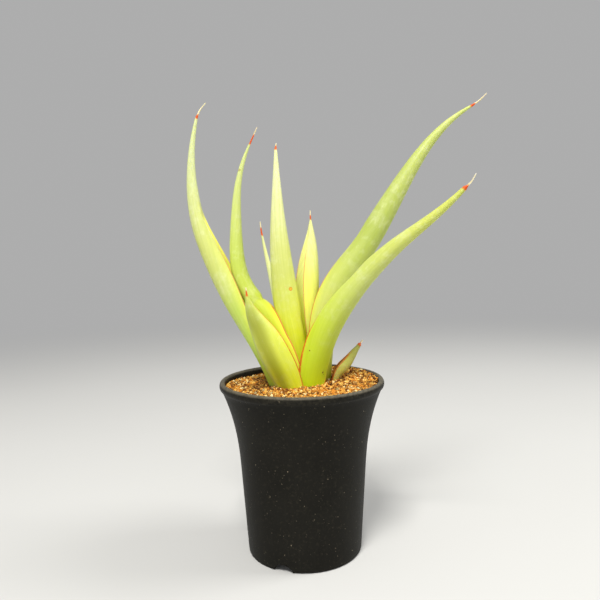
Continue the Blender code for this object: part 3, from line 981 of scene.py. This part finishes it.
LEAVES = (
    Leaf(
        node="leaf_left_tall",
        foot=(-9.2, 4.0),
        bearing=174.0,
        length=201.4,
        leans=(14.0, 25.7, 28.0, 22.5, 1.7, -15.2),
        half_widths=(7.9, 8.4, 9.4, 6.7, 3.15, 0.8),
        face_turn=0.0,
        wrap=80.0,
        closes_by=0.80,
        channel_hold=0.22,
        wall=1.8,
        roundness=0.85,
        tip_length=10.7,
        tip_leans=(-27.0, -43.0),
        finish=LeafFinish(
            foot=(0.66, 0.90, 0.10),
            low=(0.56, 0.74, 0.12),
            middle=(0.63, 0.67, 0.20),
            high=(0.65, 0.70, 0.36),
            inside=(0.90, 0.90, 0.17),
            inside_high=(0.90, 0.84, 0.16),
            rim=0.35,
            flush_from=-0.8,
            flush_to=1.2,
        ),
    ),
    Leaf(
        node="leaf_left_inner",
        foot=(-0.9, 3.2),
        bearing=176.0,
        length=183.5,
        leans=(-5.7, 19.0, 42.1, 3.9, -5.2, -27.2),
        half_widths=(10.2, 10.2, 6.35, 4.7, 2.6, 0.5),
        face_turn=4.0,
        wrap=105.0,
        closes_from=0.26,
        closes_by=0.45,
        wall=2.0,
        roundness=0.9,
        tip_length=10.6,
        tip_leans=(-26.0, -25.0),
        finish=LeafFinish(
            foot=(0.60, 0.80, 0.00),
            low=(0.69, 0.75, 0.03),
            middle=(0.57, 0.68, 0.11),
            high=(0.64, 0.70, 0.28),
            painted_wing_glow=0.9,
            flush_from=-1.0,
            flush_to=5.0,
            spots=(Spot(1.5, 164.9, 0.9, ink(150, 140, 60), ink(198, 186, 112), 0.7),),
        ),
    ),
    Leaf(
        node="leaf_back_spire",
        foot=(-5.1, 18.0),
        bearing=140.0,
        length=119.0,
        leans=(4.2, 9.5, 14.0, 16.1, 15.9, 13.2),
        half_widths=(4.6, 4.4, 3.8, 2.75, 1.6, 0.55),
        face_turn=-35.0,
        wrap=80.0,
        closes_by=0.55,
        wall=1.8,
        roundness=0.8,
        tip_length=7.3,
        tip_leans=(8.0, 8.0),
        finish=LeafFinish(
            low=(0.66, 0.74, 0.30),
            middle=(0.70, 0.76, 0.36),
            high=(0.74, 0.76, 0.38),
            flush_from=-2.5,
            flush_to=2.5,
        ),
    ),
    Leaf(
        node="leaf_centre",
        foot=(2.0, 4.9),
        bearing=184.0,
        length=167.7,
        leans=(4.1, 10.7, 7.9, 4.3, 0.7, 0.0),
        half_widths=(6.0, 7.2, 8.4, 6.7, 3.65, 0.8),
        face_turn=86.0,
        wrap=70.0,
        closes_by=0.40,
        wall=2.6,
        roundness=0.75,
        tip_length=3.4,
        tip_leans=(-6.0, -6.0),
        finish=LeafFinish(
            foot=(0.80, 0.90, 0.00),
            low=(0.83, 0.90, 0.03),
            middle=(0.64, 0.68, 0.18),
            high=(0.81, 0.82, 0.46),
            flush_from=-0.5,
            flush_to=1.4,
            spots=(
                Spot(4.0, 79.0, 1.25, ink(214, 140, 30), ink(236, 186, 56), 0.9),
                Spot(1.0, 80.6, 0.5, ink(206, 188, 90), ink(240, 226, 150), 0.5),
            ),
        ),
    ),
    Leaf(
        node="leaf_broad",
        foot=(6.9, 16.8),
        bearing=50.0,
        length=123.2,
        leans=(-1.2, -5.2, -4.2, 4.4, 9.3, 0.0),
        half_widths=(6.8, 7.5, 8.4, 8.6, 6.2, 0.5),
        face_turn=-22.0,
        wrap=112.0,
        closes_by=1.5,
        wall=2.0,
        roundness=0.9,
        tip_length=5.9,
        tip_leans=(-1.0, -1.0),
        finish=LeafFinish(
            foot=(0.66, 0.66, 0.05),
            low=(0.72, 0.72, 0.10),
            middle=(0.85, 0.90, 0.17),
            high=(0.76, 0.75, 0.33),
            inside=(0.88, 0.90, 0.00),
            inside_high=(0.90, 0.90, 0.36),
            rim=0.3,
            flush_from=0.2,
            flush_to=2.4,
        ),
    ),
    Leaf(
        node="leaf_right_tall",
        foot=(8.2, 7.4),
        bearing=6.0,
        length=230.1,
        leans=(3.7, 8.6, 36.0, 31.6, 37.2, 61.8),
        half_widths=(9.8, 9.9, 9.0, 7.1, 3.9, 0.7),
        face_turn=-38.0,
        wrap=83.0,
        closes_by=0.58,
        wall=2.0,
        roundness=0.95,
        tip_length=12.3,
        tip_leans=(56.0, 47.0),
        finish=LeafFinish(
            foot=(0.41, 0.43, 0.00),
            low=(0.63, 0.68, 0.17),
            middle=(0.43, 0.51, 0.11),
            high=(0.54, 0.60, 0.18),
            inside_high=(0.88, 0.90, 0.45),
            flush_from=-1.5,
            flush_to=1.5,
        ),
    ),
    Leaf(
        node="leaf_right_front",
        foot=(4.2, -3.2),
        bearing=-24.0,
        length=174.2,
        leans=(-2.3, 17.8, 35.8, 45.9, 54.3, 46.1),
        half_widths=(9.6, 9.6, 8.1, 5.95, 3.5, 1.25),
        face_turn=-52.0,
        face_twist=14.0,
        wrap=60.0,
        closes_by=0.62,
        wall=2.4,
        roundness=0.95,
        tip_length=9.6,
        tip_leans=(49.0, 29.0),
        finish=LeafFinish(
            foot=(0.60, 0.77, 0.00),
            low=(0.55, 0.67, 0.03),
            middle=(0.58, 0.65, 0.17),
            high=(0.60, 0.64, 0.14),
            rim=2.6,
            flush_from=-1.0,
            flush_to=1.5,
            spots=(
                Spot(-7.9, 41.0, 0.5, ink(150, 96, 30), ink(96, 62, 24), 0.8),
                Spot(5.1, 28.8, 0.75, ink(140, 120, 40), ink(74, 52, 22), 0.7),
                Spot(6.6, 27.4, 0.4, ink(110, 90, 30), ink(74, 52, 22), 0.6),
            ),
        ),
    ),
    Leaf(
        node="leaf_front_short",
        foot=(-2.6, -7.6),
        bearing=205.0,
        length=84.3,
        leans=(9.0, 17.4, 28.6, 28.3, 28.9, 7.5),
        half_widths=(8.6, 9.3, 10.3, 9.1, 5.3, 0.5),
        face_turn=42.0,
        wrap=70.0,
        closes_by=1.6,
        wall=1.8,
        roundness=0.9,
        tip_length=4.0,
        tip_leans=(5.0, 5.0),
        finish=LeafFinish(
            foot=(0.62, 0.62, 0.02),
            low=(0.80, 0.90, 0.02),
            middle=(0.72, 0.77, 0.09),
            high=(0.50, 0.56, 0.13),
            # Paints shade into the fold down the back and light beside it.
            painted_keel_shade=0.6,
            rim=1.15,
            flush_from=-1.0,
            flush_to=1.8,
        ),
    ),
    Leaf(
        node="leaf_offset",
        foot=(19.4, 4.0),
        bearing=0.0,
        length=47.7,
        leans=(7.0, -1.2, 16.3, 48.0, 35.8, 38.4),
        half_widths=(3.4, 3.6, 3.55, 4.4, 2.9, 1.2),
        face_turn=0.0,
        wrap=85.0,
        closes_by=1.3,
        wall=1.1,
        roundness=1.0,
        tip_length=3.3,
        tip_leans=(37.0, 37.0),
        finish=LeafFinish(
            foot=(0.50, 0.50, 0.06),
            low=(0.52, 0.50, 0.09),
            middle=(0.66, 0.66, 0.15),
            high=(0.42, 0.43, 0.12),
            inside=(0.20, 0.24, 0.03),
            inside_high=(0.30, 0.34, 0.05),
            painted_wing_glow=0.1,
            flush_from=-0.6,
            flush_to=0.6,
        ),
    ),
)


@dataclass
class Clump:
    """All the leaves, standing on the buried rootstock."""

    axis: Vector

    def build(self) -> list[Blade]:
        """Build and dress every leaf and the rootstock.

        Returns:
            The leaves' builders, for what has to keep clear of them.
        """
        blades = []
        for leaf in LEAVES:
            blade = Blade(leaf, self.axis, foot_level=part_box(leaf.node)[0].z / MM)
            blade.build()
            blades.append(blade)
        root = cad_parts["rootstock"]
        root.data.materials.clear()
        root.data.materials.append(RootFinish().material("rhizome_bark"))
        return blades


# ---------------------------------------------------------------------------
# Pot
# ---------------------------------------------------------------------------


@dataclass
class Pot:
    """The flared pot, turned from its profile, with arches in its foot and drain holes."""

    axis: Vector
    height: float = 110.6
    rim_radius: float = 52.5
    foot_radius: float = 36.6
    side_slope: float = 0.066
    wall: float = 1.6
    flare_from: float = 55.0
    flare_power: float = 2.45
    lip_width: float = 3.7
    lip_height: float = 5.0
    lip_overhang: float = 1.4
    lip_squareness: float = 0.8
    foot_ring: float = 2.6
    foot_round: float = 1.0
    floor_lift: float = 5.2
    floor_thickness: float = 1.6
    notch_width: float = 12.5
    notch_height: float = 4.6
    notch_bearing: float = -112.0
    notch_count: int = 3
    drain_radius: float = 6.0
    small_drain_radius: float = 2.5
    small_drain_circle: float = 20.0
    small_drain_count: int = 8
    steps: int = 180

    def outer(self, height: float) -> float:
        """Work out the straight side and its late flare.

        Args:
            height: A height under the lip, in millimetres.

        Returns:
            The outer radius there.
        """
        lip_base = self.height - self.lip_height
        straight = self.foot_radius + self.side_slope * height
        throat = self.rim_radius - self.lip_overhang
        room = throat - (self.foot_radius + self.side_slope * lip_base)
        rise = max(height - self.flare_from, 0.0) / (lip_base - self.flare_from)
        return straight + room * rise**self.flare_power

    def inner(self, height: float) -> float:
        """Return the inner radius at a height."""
        return min(self.outer(height) - self.wall, self.rim_radius - self.lip_width)

    def profile(self) -> list[tuple[float, float]]:
        """Draw the wall from the underside, over the lip and down to the floor.

        Returns:
            The profile's points, each a radius and a height in millimetres.
        """
        lip_base = self.height - self.lip_height
        foot_inner = self.foot_radius - self.foot_ring
        points = [(0.0, self.floor_lift), (foot_inner - 1.0, self.floor_lift)]
        points += [(foot_inner - 0.3, self.floor_lift - 0.3), (foot_inner, self.floor_lift - 1.0)]
        points += [(foot_inner, 0.4), (foot_inner + 0.3, 0.0)]
        heel = self.foot_radius - self.foot_round
        for turn in np.linspace(0.0, 0.5 * math.pi, 6):
            out, up = math.sin(turn), 1.0 - math.cos(turn)
            points.append((heel + self.foot_round * out, self.foot_round * up))
        for height in np.linspace(3.0, lip_base - 0.6, 44):
            points.append((self.outer(height), height))
        middle = self.rim_radius - 0.5 * self.lip_width
        centre = self.height - 0.5 * self.lip_height
        for degrees in np.linspace(-52.0, 180.0, 26):
            turn = math.radians(degrees)
            swell = math.copysign(abs(math.cos(turn)) ** self.lip_squareness, math.cos(turn))
            across = middle + 0.5 * self.lip_width * swell
            points.append((across, centre + 0.5 * self.lip_height * math.sin(turn)))
        top = self.floor_lift + self.floor_thickness
        for height in np.linspace(centre - 1.0, top + 1.5, 30):
            points.append((self.inner(height), height))
        points += [(self.inner(top) - 0.5, top + 0.4), (self.inner(top) - 1.5, top), (0.0, top)]
        return points

    def cutter(self) -> bpy.types.Object:
        """Build what is cut away: the foot's arches and the drain holes.

        Returns:
            The rods that are cut away, as one object.
        """
        work = bmesh.new()
        home = Matrix.Translation(self.axis * MM)
        half = 0.5 * self.notch_width
        radius = (half**2 + self.notch_height**2) / (2.0 * self.notch_height)
        for index in range(self.notch_count):
            bearing = math.radians(self.notch_bearing + 360.0 * index / self.notch_count)
            out = Vector((self.foot_radius - 0.5 * self.foot_ring, 0.0, self.notch_height - radius))
            lay = home @ Matrix.Rotation(bearing, 4, "Z") @ Matrix.Translation(out * MM)
            lay = lay @ Matrix.Rotation(math.radians(90.0), 4, "Y")
            self.rod(work, radius, 4.0 * self.foot_ring, lay)
        middle = self.floor_lift + 0.5 * self.floor_thickness
        deep = 4.0 * self.floor_thickness
        self.rod(work, self.drain_radius, deep, home @ Matrix.Translation((0, 0, middle * MM)))
        for index in range(self.small_drain_count):
            bearing = 2.0 * math.pi * index / self.small_drain_count
            spot = Vector((math.cos(bearing), math.sin(bearing), 0.0)) * self.small_drain_circle
            spot.z = middle
            self.rod(work, self.small_drain_radius, deep, home @ Matrix.Translation(spot * MM))
        mesh = bpy.data.meshes.new("pot_cutter")
        work.to_mesh(mesh)
        work.free()
        cutter = bpy.data.objects.new("pot_cutter", mesh)
        bpy.context.scene.collection.objects.link(cutter)
        return cutter

    @staticmethod
    def rod(work: bmesh.types.BMesh, radius: float, length: float, lay: Matrix) -> None:
        """Add a closed rod to a bmesh.

        Args:
            work: The bmesh.
            radius: The rod's radius in millimetres.
            length: Its length in millimetres.
            lay: Where its middle is and how it is turned.
        """
        bmesh.ops.create_cone(
            work,
            cap_ends=True,
            segments=48,
            radius1=radius * MM,
            radius2=radius * MM,
            depth=length * MM,
            matrix=lay,
        )

    def build(self) -> bpy.types.Object:
        """Turn the profile, cut the arches and drains, and dress the pot.

        Returns:
            The pot.
        """
        work = bmesh.new()
        chain = [
            work.verts.new((self.axis + Vector((radius, 0.0, height))) * MM)
            for radius, height in self.profile()
        ]
        line = [work.edges.new(pair) for pair in zip(chain, chain[1:])]
        bmesh.ops.spin(
            work,
            geom=chain + line,
            cent=self.axis * MM,
            axis=(0.0, 0.0, 1.0),
            angle=2.0 * math.pi,
            steps=self.steps,
            use_merge=True,
        )
        bmesh.ops.remove_doubles(work, verts=work.verts, dist=1e-6)
        bmesh.ops.recalc_face_normals(work, faces=work.faces)
        lip_mm = self.height - self.lip_height
        piece = show("pot_shell", work, PotFinish().material("black_plastic", lip_mm))
        cutter = self.cutter()
        cut = piece.modifiers.new("arches_and_drains", "BOOLEAN")
        cut.operation = "DIFFERENCE"
        cut.solver = "EXACT"
        cut.object = cutter
        graph = bpy.context.evaluated_depsgraph_get()
        carved = bpy.data.meshes.new_from_object(piece.evaluated_get(graph))
        piece.modifiers.clear()
        piece.data = carved
        piece.data.set_sharp_from_angle(angle=math.radians(50.0))
        bpy.data.objects.remove(cutter, do_unlink=True)
        return adopt(piece, Slot.POT, "pot")


# ---------------------------------------------------------------------------
# Potting mix
# ---------------------------------------------------------------------------


@dataclass(frozen=True)
class Dent:
    """A rounded dip or heap in the mix, sized in millimetres from the pot's axis."""

    x: float
    y: float
    radius: float
    depth: float

    def at(self, x: float, y: float) -> float:
        """Return how far the dent lowers the mix at a place."""
        return self.depth * math.exp(-((math.hypot(x - self.x, y - self.y) / self.radius) ** 2))


@dataclass
class Mix:
    """The granular mix: a closed bed, with loose grains lying on it.

    Sizes are in millimetres. The bed follows the pot's bore up to its shoulder, and its top
    runs in from bed_edge to bed_middle, bed_drop under the level that the grains lie at.
    """

    axis: Vector
    pot: Pot
    blades: list[Blade]
    below_rim: float = 2.6
    mound: float = 2.2
    mound_bearing: float = 35.0
    dip: float = 2.6
    dip_bearing: float = 138.0
    dents: tuple[Dent, ...] = (
        Dent(-26.0, -7.0, 7.0, 2.0),
        Dent(-20.5, -3.5, 4.0, 2.2),
        Dent(-22.5, 6.0, 5.0, 2.0),
        Dent(-30.0, 17.0, 5.5, 1.0),
        Dent(33.0, -12.0, 2.4, 1.3),
        Dent(38.0, -8.0, 2.0, 1.1),
        Dent(27.0, 3.0, 2.2, 0.9),
    )
    bed_gap: float = 0.3
    bed_shoulder: float = 98.0
    bed_edge: float = 48.3
    bed_middle: float = 2.0
    bed_drop: float = 0.9
    coarse_mm: float = 1.875
    coarse_count: int = 3000
    fine_mm: float = 1.125
    fine_count: int = 9000
    seed: int = 11

    def height(self, x: float, y: float) -> float:
        """Work out how high the mix lies, with its mound, its dip and its dents.

        Args:
            x: The place across, in millimetres from the pot's axis.
            y: The place back, in millimetres from the pot's axis.

        Returns:
            The height in millimetres.
        """
        reach = math.hypot(x, y) / self.pot.rim_radius
        bearing = math.degrees(math.atan2(y, x))
        mound_turn = (bearing - self.mound_bearing + 180.0) % 360.0 - 180.0
        dip_turn = (bearing - self.dip_bearing + 180.0) % 360.0 - 180.0
        level = self.pot.height - self.below_rim
        level += self.mound * math.exp(-((mound_turn / 45.0) ** 2)) * min(reach * 1.6, 1.0)
        level -= self.dip * math.exp(-((dip_turn / 38.0) ** 2)) * min(reach, 1.0) ** 2
        return level - sum(dent.at(x, y) for dent in self.dents)

    def bed(self) -> bpy.types.Object:
        """Build the closed bed under the grains.

        Returns:
            The bed.
        """
        work = bmesh.new()
        floor = self.pot.floor_lift + self.pot.floor_thickness + self.bed_gap
        made = bmesh.ops.create_circle(work, cap_ends=True, segments=96, radius=MM)
        ring = list(made["verts"])
        sides = np.linspace(floor, self.bed_shoulder, 8)
        rows = [(self.pot.inner(level) - self.bed_gap, level) for level in sides]
        rows += [(radius, None) for radius in np.linspace(self.bed_edge, self.bed_middle, 36)]
        for number, (radius, level) in enumerate(rows):
            if number:
                ring = self.grown(work, ring)
            for index, vert in enumerate(ring):
                turn = 2.0 * math.pi * index / len(ring)
                x, y = radius * math.cos(turn), radius * math.sin(turn)
                top = level if level is not None else self.height(x, y) - self.bed_drop
                vert.co = (self.axis + Vector((x, y, top))) * MM
        bmesh.ops.contextual_create(work, geom=ring)
        bmesh.ops.recalc_face_normals(work, faces=work.faces)
        piece = show("mix_bed", work, BedFinish().material("packed_mix"))
        return adopt(piece, Slot.MIX, "potting_mix")

    @staticmethod
    def grown(work: bmesh.types.BMesh, ring: list[bmesh.types.BMVert]) -> list[bmesh.types.BMVert]:
        """Extrude a ring of edges.

        Args:
            work: The bmesh.
            ring: The ring's vertices in order.

        Returns:
            The new ring's vertices in the same order.
        """
        corners = set(ring)
        touching = {edge for vert in ring for edge in vert.link_edges}
        edges = [edge for edge in touching if set(edge.verts) <= corners]
        geom = bmesh.ops.extrude_edge_only(work, edges=edges)["geom"]
        fresh = {item for item in geom if isinstance(item, bmesh.types.BMVert)}
        found = []
        for vert in ring:
            others = (edge.other_vert(vert) for edge in vert.link_edges)
            found.append(next(other for other in others if other in fresh))
        return found

    def outlines(self) -> list[np.ndarray]:
        """Find where the leaves stand in the mix's surface.

        Returns:
            Each leaf's outline there, measured from the pot's axis.
        """
        level = self.pot.height - self.below_rim
        found = []
        for blade in self.blades:
            rings = blade.rings()
            nearest = min(rings, key=lambda ring: abs(float(ring[0][:, 2].mean()) - level))
            found.append(nearest[0][:, :2] - np.array([self.axis.x, self.axis.y]))
        return found

    @staticmethod
    def inside(outline: np.ndarray, x: np.ndarray, y: np.ndarray) -> np.ndarray:
        """Say which places lie inside an outline.

        Args:
            outline: The outline's corners.
            x: The places' first coordinates.
            y: Their second coordinates.

        Returns:
            True for each place inside.
        """
        hit = np.zeros(len(x), bool)
        for (x0, y0), (x1, y1) in zip(outline, np.roll(outline, -1, axis=0)):
            if y0 == y1:
                continue
            cross = ((y0 > y) != (y1 > y)) & (x < (x1 - x0) * (y - y0) / (y1 - y0) + x0)
            hit ^= cross
        return hit

    def grains(self, name: str, count: int, size: float, spread: float, seed: int) -> bpy.types.Object:
        """Scatter angular grains over the bed.

        Args:
            name: The piece's name.
            count: How many grains are tried.
            size: Their usual width in millimetres.
            spread: How much the width varies.
            seed: The seed of their places and shapes.

        Returns:
            The grains as one piece.
        """
        rng = np.random.default_rng(seed)
        x, y = self.places(rng, count, size)
        count = len(x)
        dark = self.shade(x, y)
        # Grains in and round the dents are more often made damp and lower in tone, which paints shade
        # into the hollows.
        damp = (rng.random(count) < 0.13 + dark * 1.1).astype(float) * (0.6 + 0.4 * rng.random(count))
        tone = rng.random(count) * (1.0 - 0.3 * dark)
        wide = size * np.exp(spread * rng.normal(size=count)) * (1.0 + 0.25 * dark)
        level = np.array([self.height(a, b) for a, b in zip(x, y)])
        level += (rng.random(count) - 0.75) * size * 0.9
        pile, ball = self.heap(name, count)
        corners = len(ball)
        jitter = 1.0 + 0.24 * rng.normal(size=(count, corners, 1))
        body = ball[None] * np.clip(jitter, 0.6, 1.5)
        deep = wide * (0.7 + 0.5 * rng.random(count))
        tall = wide * (0.6 + 0.4 * rng.random(count))
        body = body * np.stack([wide, deep, tall], -1)[:, None]
        body = np.einsum("nij,nkj->nki", self.turns(rng, count), body)
        body += np.stack([x + self.axis.x, y + self.axis.y, level], -1)[:, None]
        pile.vertices.foreach_set("co", (body.reshape(-1) * MM).astype(np.float32))
        for label, values in (("tone", tone), ("damp", damp)):
            pile.attributes.new(label, "FLOAT", "POINT").data.foreach_set(
                "value", np.repeat(values, corners).astype(np.float32)
            )
        pile.update()
        pile.materials.append(GrainFinish().material(name + "_clay"))
        piece = bpy.data.objects.new(name, pile)
        bpy.context.scene.collection.objects.link(piece)
        return adopt(piece, Slot.MIX)

    def places(self, rng: np.random.Generator, count: int, size: float) -> tuple[np.ndarray, np.ndarray]:
        """Choose places over the bed and drop those inside a leaf.

        Args:
            rng: The random generator.
            count: How many are tried.
            size: The grains' usual width in millimetres.

        Returns:
            The places across and back, in millimetres from the pot's axis.
        """
        reach = self.pot.rim_radius - self.pot.lip_width - 0.5 * size
        radius = reach * np.sqrt(rng.random(count))
        turn = 2.0 * math.pi * rng.random(count)
        x, y = radius * np.cos(turn), radius * np.sin(turn)
        keep = np.ones(count, bool)
        for outline in self.outlines():
            keep &= ~self.inside(outline, x, y)
        return x[keep], y[keep]

    def shade(self, x: np.ndarray, y: np.ndarray) -> np.ndarray:
        """Work out how much shade to paint on the mix, 0 to 1, in and round its dents.

        Args:
            x: The places across, in millimetres from the pot's axis.
            y: The places back, in millimetres from the pot's axis.

        Returns:
            The painted shade at each place.
        """
        dark = np.zeros(len(x))
        for dent in self.dents:
            gap = np.hypot(x - dent.x, y - dent.y) / dent.radius
            dark = np.maximum(dark, np.exp(-((gap / 1.15) ** 2)) * min(1.0, dent.depth / 1.4))
        return dark

    @staticmethod
    def heap(name: str, count: int) -> tuple[bpy.types.Mesh, np.ndarray]:
        """Copy one small ball many times into one mesh.

        Args:
            name: The mesh's name.
            count: How many balls are wanted.

        Returns:
            The mesh, and the corners of one ball, 1 across.
        """
        seedling = bmesh.new()
        bmesh.ops.create_icosphere(seedling, subdivisions=1, radius=0.5)
        ball = np.array([vert.co for vert in seedling.verts])
        pile = bpy.data.meshes.new(name)
        seedling.to_mesh(pile)
        seedling.free()
        copies = 1
        while copies < count:
            doubled = bmesh.new()
            doubled.from_mesh(pile)
            doubled.from_mesh(pile)
            doubled.to_mesh(pile)
            doubled.free()
            copies *= 2
        trim = bmesh.new()
        trim.from_mesh(pile)
        trim.verts.ensure_lookup_table()
        bmesh.ops.delete(trim, geom=trim.verts[count * len(ball) :], context="VERTS")
        trim.to_mesh(pile)
        trim.free()
        return pile, ball

    @staticmethod
    def turns(rng: np.random.Generator, count: int) -> np.ndarray:
        """Return random rotation matrices.

        Args:
            rng: The random generator.
            count: How many are wanted.

        Returns:
            An array of 3 by 3 matrices.
        """
        q = rng.normal(size=(count, 4))
        q /= np.linalg.norm(q, axis=1, keepdims=True)
        w, a, b, c = q.T
        rows = [
            [1 - 2 * (b * b + c * c), 2 * (a * b - c * w), 2 * (a * c + b * w)],
            [2 * (a * b + c * w), 1 - 2 * (a * a + c * c), 2 * (b * c - a * w)],
            [2 * (a * c - b * w), 2 * (b * c + a * w), 1 - 2 * (a * a + b * b)],
        ]
        return np.transpose(np.array(rows), (2, 0, 1))

    def build(self) -> None:
        """Build the bed and its grains."""
        self.bed()
        self.grains("mix_grains_coarse", self.coarse_count, self.coarse_mm, 0.24, self.seed)
        self.grains("mix_grains_fine", self.fine_count, self.fine_mm, 0.28, self.seed + 1)


# ---------------------------------------------------------------------------
# Studio
# ---------------------------------------------------------------------------


@dataclass(frozen=True)
class Lamp:
    """A square soft light: its place in metres, its side in metres, its power in watts."""

    name: str
    place: tuple[float, float, float]
    size: float
    power: float
    tint: Colour

    def hang(self, target: Vector) -> None:
        """Hang the light so that it looks at a target.

        Args:
            target: What it looks at, in metres.
        """
        data = bpy.data.lights.new(self.name, "AREA")
        data.shape = "SQUARE"
        data.size = self.size
        data.energy = self.power
        data.color = self.tint
        lamp = bpy.data.objects.new(self.name, data)
        bpy.context.scene.collection.objects.link(lamp)
        lamp.location = self.place
        lamp.rotation_euler = (target - lamp.location).to_track_quat("-Z", "Y").to_euler()


@dataclass
class Studio:
    """Pale floor, soft lights and the camera.

    The camera's place and the haze are in millimetres, the floor, the aim and the lamps in metres.
    """

    axis: Vector
    camera_back: float = 380.9
    camera_height: float = 191.8
    camera_tilt: float = 4.61
    camera_roll: float = -1.25
    lens: float = 36.07
    sky: float = 0.42
    floor_radius: float = 6.0
    floor_drop: float = 0.0002
    haze_from: float = 420.0
    haze_by: float = 1500.0
    aim: tuple[float, float, float] = (0.0, 0.0, 0.17)
    lamps: tuple[Lamp, ...] = (
        Lamp("key", (-0.22, -0.78, 1.35), 0.40, 21.5, (1.0, 0.98, 0.93)),
        Lamp("side", (1.0, 0.05, 1.15), 0.6, 10.0, (1.0, 0.99, 0.95)),
        Lamp("front", (-0.5, -1.5, 0.35), 1.2, 3.0, (1.0, 1.0, 1.0)),
    )

    def floor(self) -> None:
        """Lay the pale floor, which fades into the backdrop far from the plant."""
        work = bmesh.new()
        bmesh.ops.create_circle(work, cap_ends=True, segments=96, radius=self.floor_radius)
        bmesh.ops.translate(work, verts=work.verts, vec=(0.0, 0.0, -self.floor_drop))
        g = Graph("studio_floor")
        away = g.place().gap_to((0.0, 0.0, 0.0)).between(self.haze_from, self.haze_by)
        soft = g.noise(g.place(), 0.004, 2.0, 0.5)
        pale = g.blend(soft, (0.60, 0.60, 0.59), (0.63, 0.63, 0.62))
        haze: Colour = (self.sky, self.sky, self.sky)
        black: Colour = (0.0, 0.0, 0.0)
        finish = g.finish(
            Base_Color=pale.towards(black, away),
            Roughness=0.9,
            Specular_IOR_Level=0.0,
            Emission_Color=g.blend(away, black, haze),
            Emission_Strength=1.0,
        )
        finish.cycles.emission_sampling = "NONE"
        show("studio_floor", work, finish)

    def backdrop(self) -> None:
        """Light the plant from all round with an even grey."""
        world = bpy.data.worlds.new("studio")
        bpy.context.scene.world = world
        world.use_nodes = True
        sky = world.node_tree.nodes["Background"]
        sky.inputs["Color"].default_value = (self.sky, self.sky, self.sky, 1.0)
        sky.inputs["Strength"].default_value = 1.0
        bpy.context.scene.view_settings.view_transform = "Standard"

    def camera(self) -> None:
        """Set up the camera in front of the pot."""
        data = bpy.data.cameras.new("camera")
        data.sensor_width = 36.0
        data.lens = self.lens
        data.clip_start = 0.01
        camera = bpy.data.objects.new("camera", data)
        bpy.context.scene.collection.objects.link(camera)
        spot = self.axis + Vector((0.0, -self.camera_back, self.camera_height))
        turn = Matrix.Rotation(math.radians(90.0 - self.camera_tilt), 4, "X")
        turn = turn @ Matrix.Rotation(math.radians(self.camera_roll), 4, "Z")
        camera.matrix_world = Matrix.Translation(spot * MM) @ turn
        bpy.context.scene.camera = camera

    def build(self) -> None:
        """Set the floor, the lights, the backdrop and the camera."""
        self.floor()
        for lamp in self.lamps:
            lamp.hang(Vector(self.aim))
        self.backdrop()
        self.camera()


def main() -> None:
    """Build the looks in order and report each piece."""
    logging.basicConfig(level=logging.INFO, format="%(name)s %(message)s")
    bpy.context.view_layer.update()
    low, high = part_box("pot")
    axis = Vector((0.5 * (low.x + high.x), 0.5 * (low.y + high.y), 0.0)) / MM
    pot = Pot(axis)
    pot.build()
    blades = Clump(axis).build()
    Mix(axis, pot, blades).build()
    Studio(axis).build()


if __name__ == "__main__":
    main()
